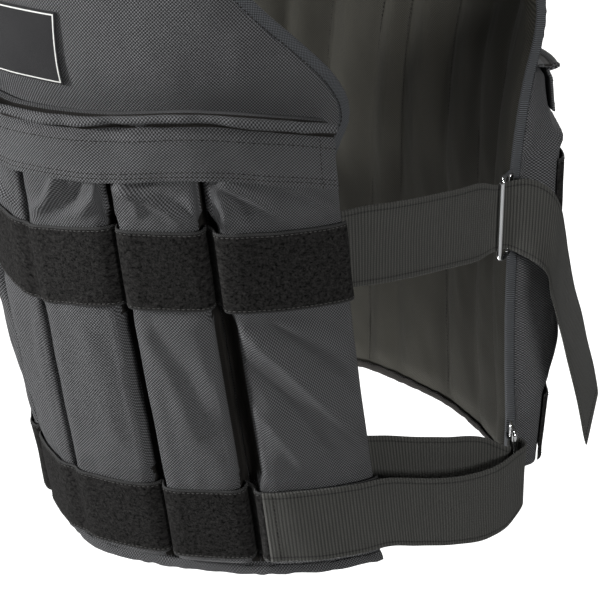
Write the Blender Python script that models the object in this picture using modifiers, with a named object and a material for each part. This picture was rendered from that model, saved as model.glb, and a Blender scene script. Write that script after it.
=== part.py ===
"""A pullover weighted vest in its worn form, standing open round a torso.

The front and back panels are padded shells. Each carries six columns of filled
pockets under a closing flap, and two bands of loop tape. Two shoulder straps join
the panels, and two webbing straps on each side run from the front panel's edge
through a wire ring on the back panel's edge. X is across, with +X the wearer's
left, -Y is the front and Z is up. The origin is the seat on the shoulders.
"""

import bpy
import numpy as np

# Driving sizes, in metres
LENGTH = 0.530            # front hem to the seat on the shoulders
FRONT_WIDTH = 0.304       # oval of the front pocket faces, across
FRONT_DEPTH = 0.170       # oval of the front pocket faces, shoulder line to chest
BACK_WIDTH = 0.418        # oval of the back pocket faces, across
BACK_DEPTH = 0.182        # oval of the back pocket faces, shoulder line to back
BACK_POWER = 2.4          # squareness of the back's oval, where 2 is an ellipse
FRONT_EDGE = 0.195        # centre front to the side edge, round the pocket faces
BACK_EDGE = 0.172         # centre back to the side edge, round the pocket faces
ARCH_START = 0.390        # height where the cloth starts to bend over the shoulder
SHOULDER_FALL = 0.020     # how much lower the strap's outer edge lies than its inner
PANEL_WALL = 0.005        # lining, wadding and outer cloth of a panel
POCKET_FILL = 0.022       # thickest padding of a filled pocket
STRAP_WALL = 0.010        # padding of a shoulder strap
CLEARANCE = 0.0004        # between pieces that are sewn together
PANEL_CLEARANCE = 0.0007  # between a panel and its pockets
POCKET_CLEARANCE = 0.0007 # between neighbouring pockets

FRONT_SIDE_TOP = 0.255    # height where the front panel's edge leaves its pockets'
BACK_SIDE_TOP = 0.275     # the same on the back panel
FRONT_NECK = 0.385        # lowest point of the neck opening in front
BACK_NECK = 0.415         # the same behind
STRAP_START = 0.425       # where a shoulder strap is sewn to its panel
BACK_HEM_RISE = 0.028     # the back hem's middle above the front hem
BACK_HEM_SAG = 0.013      # how much lower the back hem lies at the side

POCKET_BOTTOM = 0.0065
POCKET_TOP = 0.288
FLAP_BOTTOM = 0.261
FLAP_TOP = 0.2985
FLAP_WALL = 0.0020
FLAP_STANDOFF = 0.0020    # flap over the pocket faces
FLAP_SHARE = 0.975        # flap's end, as a share of the way to the side edge
TAPE_WIDTH = 0.050        # loop tape across the pockets
TAPE_WALL = 0.0016
TAPE_CLEARANCE = 0.0008   # under the loop tape
LOWER_TAPE = 0.013        # height of the lower tape's bottom edge
UPPER_TAPE = 0.182        # height of the upper tape's bottom edge
LABEL_WIDTH = 0.082
LABEL_HEIGHT = 0.041
LABEL_BOTTOM = 0.316
LABEL_WALL = 0.0012
HEM_TAPE_HEIGHT = 0.005
HEM_TAPE_WALL = 0.0010
HEM_CLEARANCE = 0.0015    # between a panel and the inner side of its hem tape

WEBBING_WIDTH = 0.050
WEBBING_WALL = 0.0018
WEBBING_GATHER = 0.88     # width left where a ring gathers it
RING_WIRE = 0.0034
RING_INNER_HEIGHT = 0.0505
RING_INNER_LENGTH = 0.013
RING_CORNER = 0.004
TAB_WIDTH = 0.030
TAB_WALL = 0.0012
UPPER_RING_HEIGHT = 0.200 # ring's middle
LOWER_RING_HEIGHT = 0.032
UPPER_RING_PULL = 1.2     # how far its strap turns a ring from the panel's line
LOWER_RING_PULL = 0.1
TAIL_LENGTH = 0.185       # free end of the upper side strap, past its ring
TAB_START = 0.0011        # from the panel's edge to its tab
TAB_REACH = 0.0060        # from the panel's edge to the ring's rear bar
ROOT_START = 0.0010       # from the panel's edge to the side strap sewn there

# Shape of the torso: heights are shares of LENGTH, widths and depths shares of the ovals
SECTIONS = (
    # height, front width, front depth, back width, back depth, squareness of the front
    (0.000, 0.955, 0.735, 0.960, 0.940, 1.60),
    (0.072, 0.958, 0.772, 0.975, 0.955, 1.62),
    (0.392, 0.980, 0.930, 0.985, 1.000, 1.87),
    (0.566, 1.000, 0.989, 0.980, 0.984, 2.00),
    (0.640, 1.000, 0.998, 0.955, 0.945, 2.08),
    (0.736, 1.000, 0.990, 0.925, 0.912, 2.15),
)

# Padding under the pocket faces, in shares of POCKET_FILL
PADDING = (
    # height as a share of LENGTH, depth in front, depth behind
    (0.000, 0.18, 0.18),
    (0.026, 0.50, 0.50),
    (0.120, 0.80, 0.85),
    (0.230, 1.00, 1.08),
    (0.345, 0.86, 1.15),
    (0.440, 0.82, 1.15),
    (0.540, 0.60, 0.85),
    (0.610, 0.12, 0.30),
    (0.736, 0.08, 0.08),
)

# How tightly tape and flap press a pocket together: 1 at the tape, 0 where it is free
PINCH = (
    # height as a share of LENGTH, tightness
    (0.000, 1.0),
    (0.120, 1.0),
    (0.230, 0.0),
    (0.345, 0.9),
    (0.440, 0.9),
    (0.500, 0.5),
    (0.545, 0.6),
)

# How the front's rows rise and fall round the vest, in shares of LENGTH
DRAPE = (
    # share of the way to the side edge, at the upper tape, at the flap
    (0.00, -0.0075, 0.0000),
    (0.31, 0.0060, 0.0050),
    (0.59, 0.0060, 0.0110),
    (0.85, 0.0050, -0.0010),
    (1.05, 0.0040, -0.0170),
)

# A pocket's cross-section, from the edge nearer the middle of the vest outwards
POCKET_PROFILE = (
    # across, height where free, height where pinched, height of the side pocket
    (0.00, 0.30, 0.45, 0.40),
    (0.03, 0.88, 0.90, 0.90),
    (0.08, 1.00, 1.00, 1.00),
    (0.30, 1.03, 1.01, 1.03),
    (0.55, 1.00, 1.00, 1.03),
    (0.75, 0.90, 0.97, 1.00),
    (0.88, 0.68, 0.90, 0.96),
    (0.96, 0.38, 0.70, 0.90),
    (1.00, 0.16, 0.45, 0.78),
)
PANEL_PLACES = (0, 3, 5)       # rows of the profile where a panel has a column too
SIDE_PLACES = (0, 3, 4, 5)     # the same at the side pocket, where the torso turns

# Where the pockets of one half meet, as shares of the side edge
FRONT_COLUMNS = (0.000, 0.312, 0.588, 1.000)
BACK_COLUMNS = (0.000, 0.330, 0.650, 1.000)

# Armhole: height as a share from the side's top to STRAP_START, edge as a share
FRONT_ARMHOLE = (
    (0.00, 1.000),
    (0.12, 1.045),
    (0.20, 1.075),
    (0.27, 1.065),
    (0.37, 1.010),
    (0.51, 0.890),
    (0.62, 0.785),
    (0.80, 0.650),
    (1.00, 0.560),
)
BACK_ARMHOLE = (
    (0.00, 1.000),
    (0.15, 0.985),
    (0.30, 0.930),
    (0.50, 0.800),
    (0.70, 0.670),
    (0.85, 0.600),
    (1.00, 0.570),
)

# Shoulder strap's edges from front to back, as shares of the panels' edges where it starts
STRAP_EDGES = (
    # along, inner edge, outer edge
    (0.00, 0.31, 1.00),
    (0.25, 0.46, 1.04),
    (0.50, 0.58, 1.24),
    (0.75, 0.50, 1.12),
    (1.00, 0.31, 1.00),
)

# Free tail of the upper side strap, past the ring, in shares of TAIL_LENGTH
TAIL = (
    # rearward, outward, down, how far it has turned flat
    (0.030, 0.060, 0.010, 0.05),
    (0.060, 0.125, 0.050, 0.30),
    (0.080, 0.160, 0.170, 0.65),
    (0.095, 0.195, 0.320, 0.90),
    (0.110, 0.230, 0.460, 1.00),
    (0.125, 0.265, 0.600, 1.00),
    (0.140, 0.295, 0.750, 1.00),
)
TAIL_LEAN = (-0.45, 0.85, 0.30)

# Fold of the lower side strap round its ring's front bar, in radii of that bend
FOLD = (
    # forward, outward
    (1.5, -1.05),
    (0.0, -1.15),
    (-1.6, -0.75),
    (-2.4, 0.30),
    (-1.7, 1.40),
    (0.0, 1.90),
)
# Outer layer of the lower side strap, from the fold to the front edge, in metres
OUTER_LAYER = (
    # share of the way, bulge outwards, sag
    (0.15, 0.0060, 0.0060),
    (0.40, 0.0120, 0.0110),
    (0.65, 0.0110, 0.0090),
    (0.85, 0.0050, 0.0040),
)
LOWER_STRAP_DROP = 0.003  # how far below the ring's middle it runs
LOWER_ROOT_RISE = 0.018   # lower strap's root above the tape's middle
LOWER_STRAP_END = 0.625   # where it ends on the tape, as a share of the front edge

POCKET_ROWS_BETWEEN_TAPES = 2
CLOTH = (0.055, 0.057, 0.060)
TAPE = (0.012, 0.012, 0.013)
WEBBING = (0.035, 0.037, 0.036)
LINING = (0.045, 0.047, 0.043)
STEEL = (0.75, 0.76, 0.78)


def smooth(where, table, column):
    """The table's column at where, on a curve whose slope at each row is that of its neighbours."""
    rows = np.array(table, float)
    x = rows[:, 0]
    y = rows[:, column]
    slope = np.gradient(y, x)
    at = np.clip(np.asarray(where, float), x[0], x[-1])
    i = np.clip(np.searchsorted(x, at, side="right") - 1, 0, len(x) - 2)
    width = x[i + 1] - x[i]
    t = (at - x[i]) / width
    start = (1 + 2 * t) * (1 - t) ** 2 * y[i] + t * (1 - t) ** 2 * width * slope[i]
    end = t * t * (3 - 2 * t) * y[i + 1] - t * t * (1 - t) * width * slope[i + 1]
    return start + end


def oval(half_width, half_depth, power, along):
    """The point at an arc length from the middle of a superellipse, and its outward normal."""
    turn = np.linspace(0.0, np.pi / 2, 241)
    x = half_width * np.sin(turn) ** (2 / power)
    y = half_depth * np.cos(turn) ** (2 / power)
    length = np.concatenate([[0.0], np.cumsum(np.hypot(np.diff(x), np.diff(y)))])
    px = np.interp(along, length, x)
    py = np.interp(along, length, y)
    nx = (px / half_width) ** (power - 1) / half_width
    ny = (py / half_depth) ** (power - 1) / half_depth
    size = np.hypot(nx, ny)
    return px, py, nx / size, ny / size


def padding(side, height):
    """Depth of the filling under the pocket faces."""
    return POCKET_FILL * smooth(height / LENGTH, PADDING, 1 if side < 0 else 2)


def wrap(side, along, height, out):
    """A point of the vest's left half, in the frame whose zero height is the front hem.

    side is -1 for the front and 1 for the back, along the way round from the
    middle, height the way up the cloth, and out how far it lies outside the pocket
    faces. Above ARCH_START the cloth follows an ellipse over the shoulder.
    """
    level = min(height, ARCH_START) / LENGTH
    first = 1 if side < 0 else 3
    width, depth = (FRONT_WIDTH, FRONT_DEPTH) if side < 0 else (BACK_WIDTH, BACK_DEPTH)
    half_width = 0.5 * width * smooth(level, SECTIONS, first)
    half_depth = depth * smooth(level, SECTIONS, first + 1)
    power = smooth(level, SECTIONS, 5) if side < 0 else BACK_POWER
    x, y, nx, ny = oval(half_width, half_depth, power, along)
    if height <= ARCH_START:
        return np.array([x + nx * out, side * (y + ny * out), height])
    rise = LENGTH + STRAP_WALL - SHOULDER_FALL * shoulder_share(along) - ARCH_START
    turn = (height - ARCH_START) / arch_length(y, rise) * np.pi / 2
    turn = min(turn, np.pi / 2)
    return np.array([
        x + nx * out * np.cos(turn),
        side * (y + ny * out) * np.cos(turn),
        ARCH_START + (rise + out) * np.sin(turn),
    ])


def strap_edge(share, column):
    """Inner or outer edge of a shoulder strap, as the way round from the middle."""
    front = FRONT_EDGE * FRONT_ARMHOLE[-1][1]
    back = BACK_EDGE * BACK_ARMHOLE[-1][1]
    return (front + (back - front) * share) * float(smooth(share, STRAP_EDGES, column))


def shoulder_share(along):
    """How far across a shoulder strap a point lies, from 0 at its inner edge to 1."""
    inner = strap_edge(0.5, 1)
    outer = strap_edge(0.5, 2)
    return float(np.clip((along - inner) / (outer - inner), 0.0, 1.0))


def arch_length(depth, rise):
    """Length of a quarter of an ellipse."""
    return np.pi / 2 * np.sqrt((depth ** 2 + rise ** 2) / 2)


def placed(point):
    """The same point with the origin moved up to the seat on the shoulders."""
    return (point[0], point[1], point[2] - LENGTH)


def finish_mesh(name, points, faces, colour, metallic=0.0, roughness=0.8):
    """An object of the given points and faces, in the part's collection, with its own material."""
    mesh = bpy.data.meshes.new(name)
    mesh.from_pydata([placed(p) for p in points], [], faces)
    mesh.validate()
    thing = bpy.data.objects.new(name, mesh)
    PARTS.objects.link(thing)
    paint(thing, colour, metallic, roughness)
    return thing


def paint(thing, colour, metallic, roughness):
    """Give an object a plain material of its own."""
    material = bpy.data.materials.new(thing.name)
    material.use_nodes = True
    shader = material.node_tree.nodes["Principled BSDF"]
    shader.inputs["Base Color"].default_value = (*colour, 1.0)
    shader.inputs["Metallic"].default_value = metallic
    shader.inputs["Roughness"].default_value = roughness
    thing.data.materials.append(material)


def grid_faces(rows, columns, start=0, flip=False):
    """Quads of a grid whose points are counted row by row."""
    faces = []
    for r in range(rows - 1):
        for c in range(columns - 1):
            a = start + r * columns + c
            quad = (a, a + 1, a + columns + 1, a + columns)
            faces.append(quad[::-1] if flip else quad)
    return faces


def border_faces(rows, columns, flip=False):
    """Quads that close two like grids, the second counted after the first."""
    second = rows * columns
    ring = [c for c in range(columns)]
    ring += [r * columns + columns - 1 for r in range(1, rows)]
    ring += [(rows - 1) * columns + c for c in range(columns - 2, -1, -1)]
    ring += [r * columns for r in range(rows - 2, 0, -1)]
    faces = []
    for a, b in zip(ring, ring[1:] + ring[:1]):
        quad = (b, a, second + a, second + b)
        faces.append(quad[::-1] if flip else quad)
    return faces


def slab(name, outer, inner, flip, colour):
    """A closed solid between two grids of points, a loft between unlike sections."""
    rows = len(outer)
    columns = len(outer[0])
    points = [p for row in outer for p in row] + [p for row in inner for p in row]
    faces = grid_faces(rows, columns, 0, flip)
    faces += grid_faces(rows, columns, rows * columns, not flip)
    faces += border_faces(rows, columns, flip)
    return finish_mesh(name, points, faces, colour)


def shell(name, grid, wall, flip, colour, mirrored=False, offset=1.0):
    """An open grid given a wall, and mirrored across the middle if it is one half."""
    rows = len(grid)
    columns = len(grid[0])
    points = [p for row in grid for p in row]
    thing = finish_mesh(name, points, grid_faces(rows, columns, 0, flip), colour)
    if mirrored:
        mirror = thing.modifiers.new("Halves", "MIRROR")
        mirror.use_axis = (True, False, False)
        mirror.use_clip = True
        mirror.merge_threshold = 0.0001
    solidify = thing.modifiers.new("Wall", "SOLIDIFY")
    solidify.thickness = wall
    solidify.offset = offset
    solidify.use_even_offset = True
    return thing


def across(point, sign):
    """The point, or its twin on the wearer's right."""
    return np.array([sign * point[0], point[1], point[2]])


def side_values(side):
    """Edge length, armhole table, side top, neck and pocket joins of the front or the back."""
    if side < 0:
        return FRONT_EDGE, FRONT_ARMHOLE, FRONT_SIDE_TOP, FRONT_NECK, FRONT_COLUMNS
    return BACK_EDGE, BACK_ARMHOLE, BACK_SIDE_TOP, BACK_NECK, BACK_COLUMNS


def hem_height(side, share):
    """Height of the hem at a share of the way from the middle to the side edge."""
    if side < 0:
        return 0.0
    return BACK_HEM_RISE - BACK_HEM_SAG * share ** 2


def panel_edge(side, height):
    """How far round from the middle the panel's edge lies at a height."""
    edge, armhole, side_top = side_values(side)[:3]
    share = (height - side_top) / (STRAP_START - side_top)
    return edge * float(smooth(share, armhole, 1))


def panel_top(side, share):
    """Height of a panel's upper edge: the neck's curve, then level under the strap."""
    neck = side_values(side)[3]
    if neck >= STRAP_START:
        return STRAP_START
    t = np.clip(share / STRAP_EDGES[0][1], 0.0, 1.0)
    return STRAP_START - (STRAP_START - neck) * np.sqrt(1 - t ** 2.5)


def panel_shares(side):
    """Places of a panel's columns, from its middle to its side edge."""
    joins = side_values(side)[4]
    shares = []
    for start, end in zip(joins, joins[1:]):
        places = SIDE_PLACES if end == joins[-1] else PANEL_PLACES
        shares += [start + POCKET_PROFILE[k][0] * (end - start) for k in places]
    return shares + [1.0]


def make_panel(side, name):
    """A padded shell from hem to neck, drawn in rows that close in along the armhole."""
    levels = [0.0, *pocket_heights(), FLAP_TOP]
    climbs = np.linspace(0, 1, 6)[1:]
    grid = []
    for step in range(len(levels) + len(climbs)):
        row = []
        for share in panel_shares(side):
            if step < len(levels):
                height = row_height(side, share, levels[step])
            else:
                start = row_height(side, share, FLAP_TOP)
                climb = climbs[step - len(levels)]
                height = start + climb * (panel_top(side, share) - start)
            along = share * panel_edge(side, height)
            depth = padding(side, height) + PANEL_CLEARANCE + PANEL_WALL
            row.append(wrap(side, along, height, -depth))
        grid.append(row)
    return shell(name, grid, PANEL_WALL, side > 0, LINING, mirrored=True)


def pocket_heights():
    """Heights of a pocket's rows, with one at each edge of the tapes and the flap."""
    low = LOWER_TAPE + TAPE_WIDTH
    between = np.linspace(low, UPPER_TAPE, POCKET_ROWS_BETWEEN_TAPES + 2)[1:-1]
    rows = [POCKET_BOTTOM, LOWER_TAPE, low, *between]
    return rows + [UPPER_TAPE, UPPER_TAPE + TAPE_WIDTH, FLAP_BOTTOM, POCKET_TOP]


def row_height(side, share, height):
    """A row's height at a share of the way to the side edge: lifted by the hem, and draped."""
    lift = hem_height(side, share) * max(0.0, 1 - height / UPPER_TAPE)
    if side > 0:
        return height + lift
    rise = np.clip((height - LOWER_TAPE - TAPE_WIDTH) / (UPPER_TAPE - LOWER_TAPE - TAPE_WIDTH), 0, 1)
    turn = np.clip((height - UPPER_TAPE - TAPE_WIDTH) / (FLAP_BOTTOM - UPPER_TAPE - TAPE_WIDTH), 0, 1)
    at_tape, at_flap = (LENGTH * float(smooth(share, DRAPE, k)) for k in (1, 2))
    return height + lift + rise * (at_tape + turn * (at_flap - at_tape))


def face_depth(side, height, column, place):
    """How far a pocket's face lies inside the oval, at one place of its profile."""
    _, free, pinched, at_side = POCKET_PROFILE[place]
    if column == 2:
        return padding(side, height) * (1 - at_side)
    tight = float(smooth(height / LENGTH, PINCH, 1))
    return padding(side, height) * (1 - (free + (pinched - free) * tight))


def column_span(side, column):
    """Where a pocket starts and ends, round from the middle."""
    edge = side_values(side)[0]
    joins = side_values(side)[4]
    half_gap = POCKET_CLEARANCE / 2
    start = joins[column] * edge + half_gap
    end = joins[column + 1] * edge - (half_gap if column < 2 else 0.0)
    return start, end


def make_pocket(side, column, sign, name):
    """A filled pocket: steep at the edge nearer the middle, rounded off at the other."""
    start, end = column_span(side, column)
    edge = side_values(side)[0]
    outer = []
    inner = []
    for level in pocket_heights():
        outer_row = []
        inner_row = []
        for place, profile in enumerate(POCKET_PROFILE):
            along = start + profile[0] * (end - start)
            height = row_height(side, along / edge, level)
            face = face_depth(side, height, column, place)
            base = padding(side, height)
            outer_row.append(across(wrap(side, along, height, -face), sign))
            inner_row.append(across(wrap(side, along, height, -base), sign))
        outer.append(outer_row)
        inner.append(inner_row)
    return slab(name, outer, inner, (side > 0) != (sign < 0), CLOTH)


def make_tape(side, bottom, name):
    """A band of loop tape that follows the pocket faces and bridges each join."""
    edge = side_values(side)[0]
    last = len(POCKET_PROFILE) - 1
    outer = []
    inner = []
    for level in (bottom, bottom + TAPE_WIDTH):
        inner_half = []
        outer_half = []
        for column in range(3):
            start, end = column_span(side, column)
            places = range(1, last + 1 if column == 2 else last)
            for place in (0, *places) if column == 0 else places:
                share = POCKET_PROFILE[place][0]
                along = start + share * (end - start) if column + place else 0.0
                height = row_height(side, along / edge, level)
                lift = TAPE_CLEARANCE - face_depth(side, height, column, max(place, 1))
                inner_half.append(wrap(side, along, height, lift))
                outer_half.append(wrap(side, along, height, lift + TAPE_WALL))
        inner.append([across(p, -1) for p in inner_half[:0:-1]] + inner_half)
        outer.append([across(p, -1) for p in outer_half[:0:-1]] + outer_half)
    return slab(name, outer, inner, side > 0, TAPE)


def make_flap(side, name):
    """A flap over the pocket mouths: out from the panel, over a ridge and down."""
    edge = side_values(side)[0]
    rows = (
        (FLAP_TOP, 0.0, CLEARANCE),
        (FLAP_TOP, 0.5, CLEARANCE),
        (FLAP_TOP, 1.0, FLAP_STANDOFF),
        (FLAP_TOP - 0.35 * (FLAP_TOP - FLAP_BOTTOM), 1.0, 1.6 * FLAP_STANDOFF),
        (FLAP_BOTTOM, 1.0, 1.2 * FLAP_STANDOFF),
    )
    shares = [*panel_shares(side)[:-1], FLAP_SHARE]
    grid = []
    for level, outward, standoff in rows:
        row = []
        for share in shares:
            height = row_height(side, share, level)
            deep = (padding(side, height + FLAP_WALL) + PANEL_CLEARANCE / 2) * (1 - outward)
            row.append(wrap(side, share * edge, height, standoff - deep))
        grid.append(row)
    return shell(name, grid, FLAP_WALL, side < 0, CLOTH, mirrored=True)


def make_label(name):
    """A plain woven patch on the chest, over the flap."""
    grid = []
    for height in np.linspace(LABEL_BOTTOM, LABEL_BOTTOM + LABEL_HEIGHT, 3):
        row = []
        for along in np.linspace(0, LABEL_WIDTH / 2, 5):
            row.append(wrap(-1, along, height, CLEARANCE - PANEL_CLEARANCE / 2 - padding(-1, height)))
        grid.append(row)
    return shell(name, grid, LABEL_WALL, False, TAPE, mirrored=True)


def make_hem(side, name):
    """A narrow tape folded round the panel's hem."""
    edge = side_values(side)[0]
    outside = CLEARANCE - padding(side, 0.0)
    inside = outside - PANEL_CLEARANCE - HEM_CLEARANCE - PANEL_WALL
    rows = (
        (HEM_TAPE_HEIGHT, outside),
        (-CLEARANCE, outside),
        (-CLEARANCE, inside),
        (HEM_TAPE_HEIGHT, inside),
    )
    grid = []
    for height, out in rows:
        row = []
        for share in panel_shares(side):
            level = row_height(side, share, 0.0) + height
            depth = out + padding(side, 0.0) - padding(side, level)
            row.append(wrap(side, share * edge, level, depth))
        grid.append(row)
    return shell(name, grid, HEM_TAPE_WALL, side < 0, TAPE, mirrored=True)


def make_shoulder(sign, name):
    """A padded strap over the shoulder, from the front panel's top to the back panel's."""
    grid = []
    steps = 15
    for step in range(steps):
        share = step / (steps - 1)
        inner = strap_edge(share, 1)
        outer = strap_edge(share, 2)
        row = []
        for part in np.linspace(0, 1, 5):
            along = inner + part * (outer - inner)
            row.append(across(shoulder_point(share, along), sign))
        grid.append(row)
    return shell(name, grid, STRAP_WALL, sign < 0, CLOTH)


def shoulder_point(share, along):
    """A point of the strap's lining, at a share of the way from the front panel to the back."""
    side = -1 if share <= 0.5 else 1
    climb = 1 - abs(2 * share - 1)
    base = wrap(side, along, ARCH_START, 0.0)
    other = wrap(-side, along, ARCH_START, 0.0)
    top = LENGTH + STRAP_WALL - SHOULDER_FALL * shoulder_share(along)
    length = arch_length(abs(base[1]), top - ARCH_START)
    start = STRAP_START + CLEARANCE
    height = start + climb * (ARCH_START + length - start)
    point = wrap(side, along, height, -STRAP_WALL)
    point[0] += (other[0] - base[0]) * climb ** 2 * (1.5 - climb)
    if climb == 1.0:
        point[1] = 0.0
    return point


def threaded(path, steps):
    """Points along a smooth curve through the path's points, with steps from each to the next."""
    points = np.array(path, float)
    lengths = np.linalg.norm(np.diff(points[:, :3], axis=0), axis=1)
    knots = np.concatenate([[0.0], np.cumsum(lengths)])
    fine = np.interp(np.arange((len(knots) - 1) * steps + 1) / steps, np.arange(len(knots)), knots)
    table = np.column_stack([knots, points])
    return np.stack([smooth(fine, table, k + 1) for k in range(points.shape[1])], 1)


def edge_frame(side, height):
    """Middle of a panel's side edge at a height, and the way straight on round the torso."""
    edge = side_values(side)[0]
    depth = -padding(side, height) - PANEL_CLEARANCE - PANEL_WALL / 2
    here = wrap(side, edge, height, depth)
    before = wrap(side, panel_shares(side)[-2] * edge, height, depth)
    return here, unit(here - before)


def unit(vector):
    """The vector at length one."""
    return vector / np.linalg.norm(vector)


def ring_place(level):
    """The back panel's edge at a ring, the way that the ring points, and the way out."""
    upper = level == "upper"
    edge, onward = edge_frame(1, UPPER_RING_HEIGHT if upper else LOWER_RING_HEIGHT)
    pull = unit(edge_frame(-1, edge[2])[0] - edge)
    forward = onward + (UPPER_RING_PULL if upper else LOWER_RING_PULL) * pull
    forward = unit(forward * (1, 1, 0))
    return edge, forward, np.cross((0.0, 0.0, 1.0), forward)


def make_ring(sign, level, name):
    """A rectangle of round wire, standing upright ahead of the back panel's edge."""
    edge, forward, _ = ring_place(level)
    rear = TAB_REACH
    front = rear + RING_INNER_LENGTH + RING_WIRE
    half = (RING_INNER_HEIGHT + RING_WIRE) / 2
    corners = ((rear, -half, 1, 1), (front, -half, -1, 1), (front, half, -1, -1), (rear, half, 1, -1))
    route = []
    for index, (ahead, above, inward, upward) in enumerate(corners):
        turns = ((0, 1), (0.3, 0.3), (1, 0)) if index % 2 == 0 else ((1, 0), (0.3, 0.3), (0, 1))
        for a, b in turns:
            height = np.array([0.0, 0.0, above + upward * RING_CORNER * b])
            route.append(edge + forward * (ahead + inward * RING_CORNER * a) + height)
    data = bpy.data.curves.new(name, "CURVE")
    data.dimensions = "3D"
    data.bevel_depth = RING_WIRE / 2
    data.bevel_resolution = 1
    spline = data.splines.new("POLY")
    spline.points.add(len(route) - 1)
    for point, place in zip(spline.points, route):
        point.co = (*placed(across(place, sign)), 1.0)
    spline.use_cyclic_u = True
    thing = bpy.data.objects.new(name, data)
    PARTS.objects.link(thing)
    paint(thing, STEEL, 1.0, 0.2)
    return thing


def make_tab(sign, level, name):
    """A short loop of tape round the ring's rear bar, sewn to the back panel's edge."""
    edge, forward, out = ring_place(level)
    radius = RING_WIRE / 2 + CLEARANCE
    profile = [(TAB_START, -radius), (TAB_REACH, -radius)]
    for turn in np.linspace(-55, 55, 4):
        angle = np.radians(turn)
        profile.append((TAB_REACH + radius * np.cos(angle), radius * np.sin(angle)))
    profile += [(TAB_REACH, radius), (TAB_START, radius)]
    grid = []
    for above in (-TAB_WIDTH / 2, TAB_WIDTH / 2):
        row = []
        for ahead, away in profile:
            place = edge + forward * ahead + out * away + np.array([0.0, 0.0, above])
            row.append(across(place, sign))
        grid.append(row)
    return shell(name, grid, TAB_WALL, sign < 0, TAPE)


def ribbon(name, centres, widths, sign):
    """Webbing carried along centre points, each with the vector from edge to edge."""
    grid = []
    for part in (-0.5, 0.5):
        grid.append([across(c + part * w, sign) for c, w in zip(centres, widths)])
    return shell(name, grid, WEBBING_WALL, sign < 0, WEBBING, offset=0.0)


def front_root(height):
    """Middle and width of a side strap where it is sewn to the front panel's edge."""
    middle, onward = edge_frame(-1, height)
    upper = edge_frame(-1, height + WEBBING_WIDTH / 2)[0]
    lower = edge_frame(-1, height - WEBBING_WIDTH / 2)[0]
    return middle + onward * ROOT_START, WEBBING_WIDTH * unit(upper - lower)


def front_bar(level):
    """Middle of a ring's front bar, the way that the ring points, and the way out."""
    edge, forward, out = ring_place(level)
    return edge + forward * (TAB_REACH + RING_INNER_LENGTH + RING_WIRE), forward, out


def make_upper_strap(sign, name):
    """From the front edge inside the ring's front bar, out through the ring, and down free."""
    root, root_width = front_root(UPPER_TAPE + TAPE_WIDTH / 2)
    bar, forward, out = front_bar("upper")
    reach = RING_WIRE / 2 + WEBBING_WALL
    inside = bar - out * reach
    through = bar - forward * (RING_INNER_LENGTH + RING_WIRE) / 2 + out * 0.001
    upright = np.array([0.0, 0.0, WEBBING_WIDTH])
    leaning = WEBBING_WIDTH * unit(np.array(TAIL_LEAN))
    run = inside - root
    path = [(root, root_width)]
    for share, bulge in ((0.2, 0.003), (0.45, 0.005), (0.7, 0.004), (0.9, 0.001)):
        path.append((root + share * run + out * bulge, upright))
    path += [(inside, WEBBING_GATHER * upright), (through, WEBBING_GATHER * upright)]
    for back, away, down, turned in TAIL:
        step = -forward * back + out * away + np.array([0.0, 0.0, -down])
        width = WEBBING_WIDTH * unit(upright * (1 - turned) + leaning * turned)
        path.append((through + step * TAIL_LENGTH, width))
    rows = threaded([np.concatenate(pair) for pair in path], 2)
    return ribbon(name, rows[:, :3], rows[:, 3:], sign)


def laid_strap(share, height):
    """Middle and width of webbing that lies over the lower tape, at a share of the front edge."""
    lift = TAPE_CLEARANCE + TAPE_WALL + CLEARANCE + WEBBING_WALL / 2 + POCKET_FILL * 0.03
    upper = wrap(-1, share * FRONT_EDGE, height + WEBBING_WIDTH / 2, lift)
    lower = wrap(-1, share * FRONT_EDGE, height - WEBBING_WIDTH / 2, lift)
    return (upper + lower) / 2, WEBBING_WIDTH * unit(upper - lower)


def make_lower_strap(sign, name):
    """From the front edge through the ring, folded round its bar and back over the pocket."""
    middle = LOWER_TAPE + TAPE_WIDTH / 2
    root, root_width = front_root(middle + LOWER_ROOT_RISE)
    bar, forward, out = front_bar("lower")
    bar = bar - np.array([0.0, 0.0, LOWER_STRAP_DROP])
    reach = RING_WIRE / 2 + WEBBING_WALL
    upright = np.array([0.0, 0.0, WEBBING_WIDTH])
    inside = bar - out * reach
    path = [(root, root_width)]
    for share, bulge in ((0.2, 0.003), (0.5, 0.006), (0.8, 0.004)):
        width = WEBBING_WIDTH * unit(root_width * (1 - share) + upright * share)
        path.append((root + share * (inside - root) + out * bulge, width))
    for ahead, away in FOLD:
        place = bar + forward * ahead * reach + out * away * reach
        path.append((place, WEBBING_GATHER * upright))
    start = path[-1][0]
    landing, landing_width = laid_strap(1.0, middle)
    for share, bulge, sag in OUTER_LAYER:
        width = WEBBING_WIDTH * unit(upright * (1 - share) + landing_width * share)
        place = start + share * (landing - start) + out * bulge
        path.append((place - np.array([0.0, 0.0, sag]), width))
    path += [laid_strap(share, middle) for share in (1.0, 0.91, 0.82, 0.72, LOWER_STRAP_END)]
    rows = threaded([np.concatenate(pair) for pair in path], 2)
    return ribbon(name, rows[:, :3], rows[:, 3:], sign)


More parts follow.
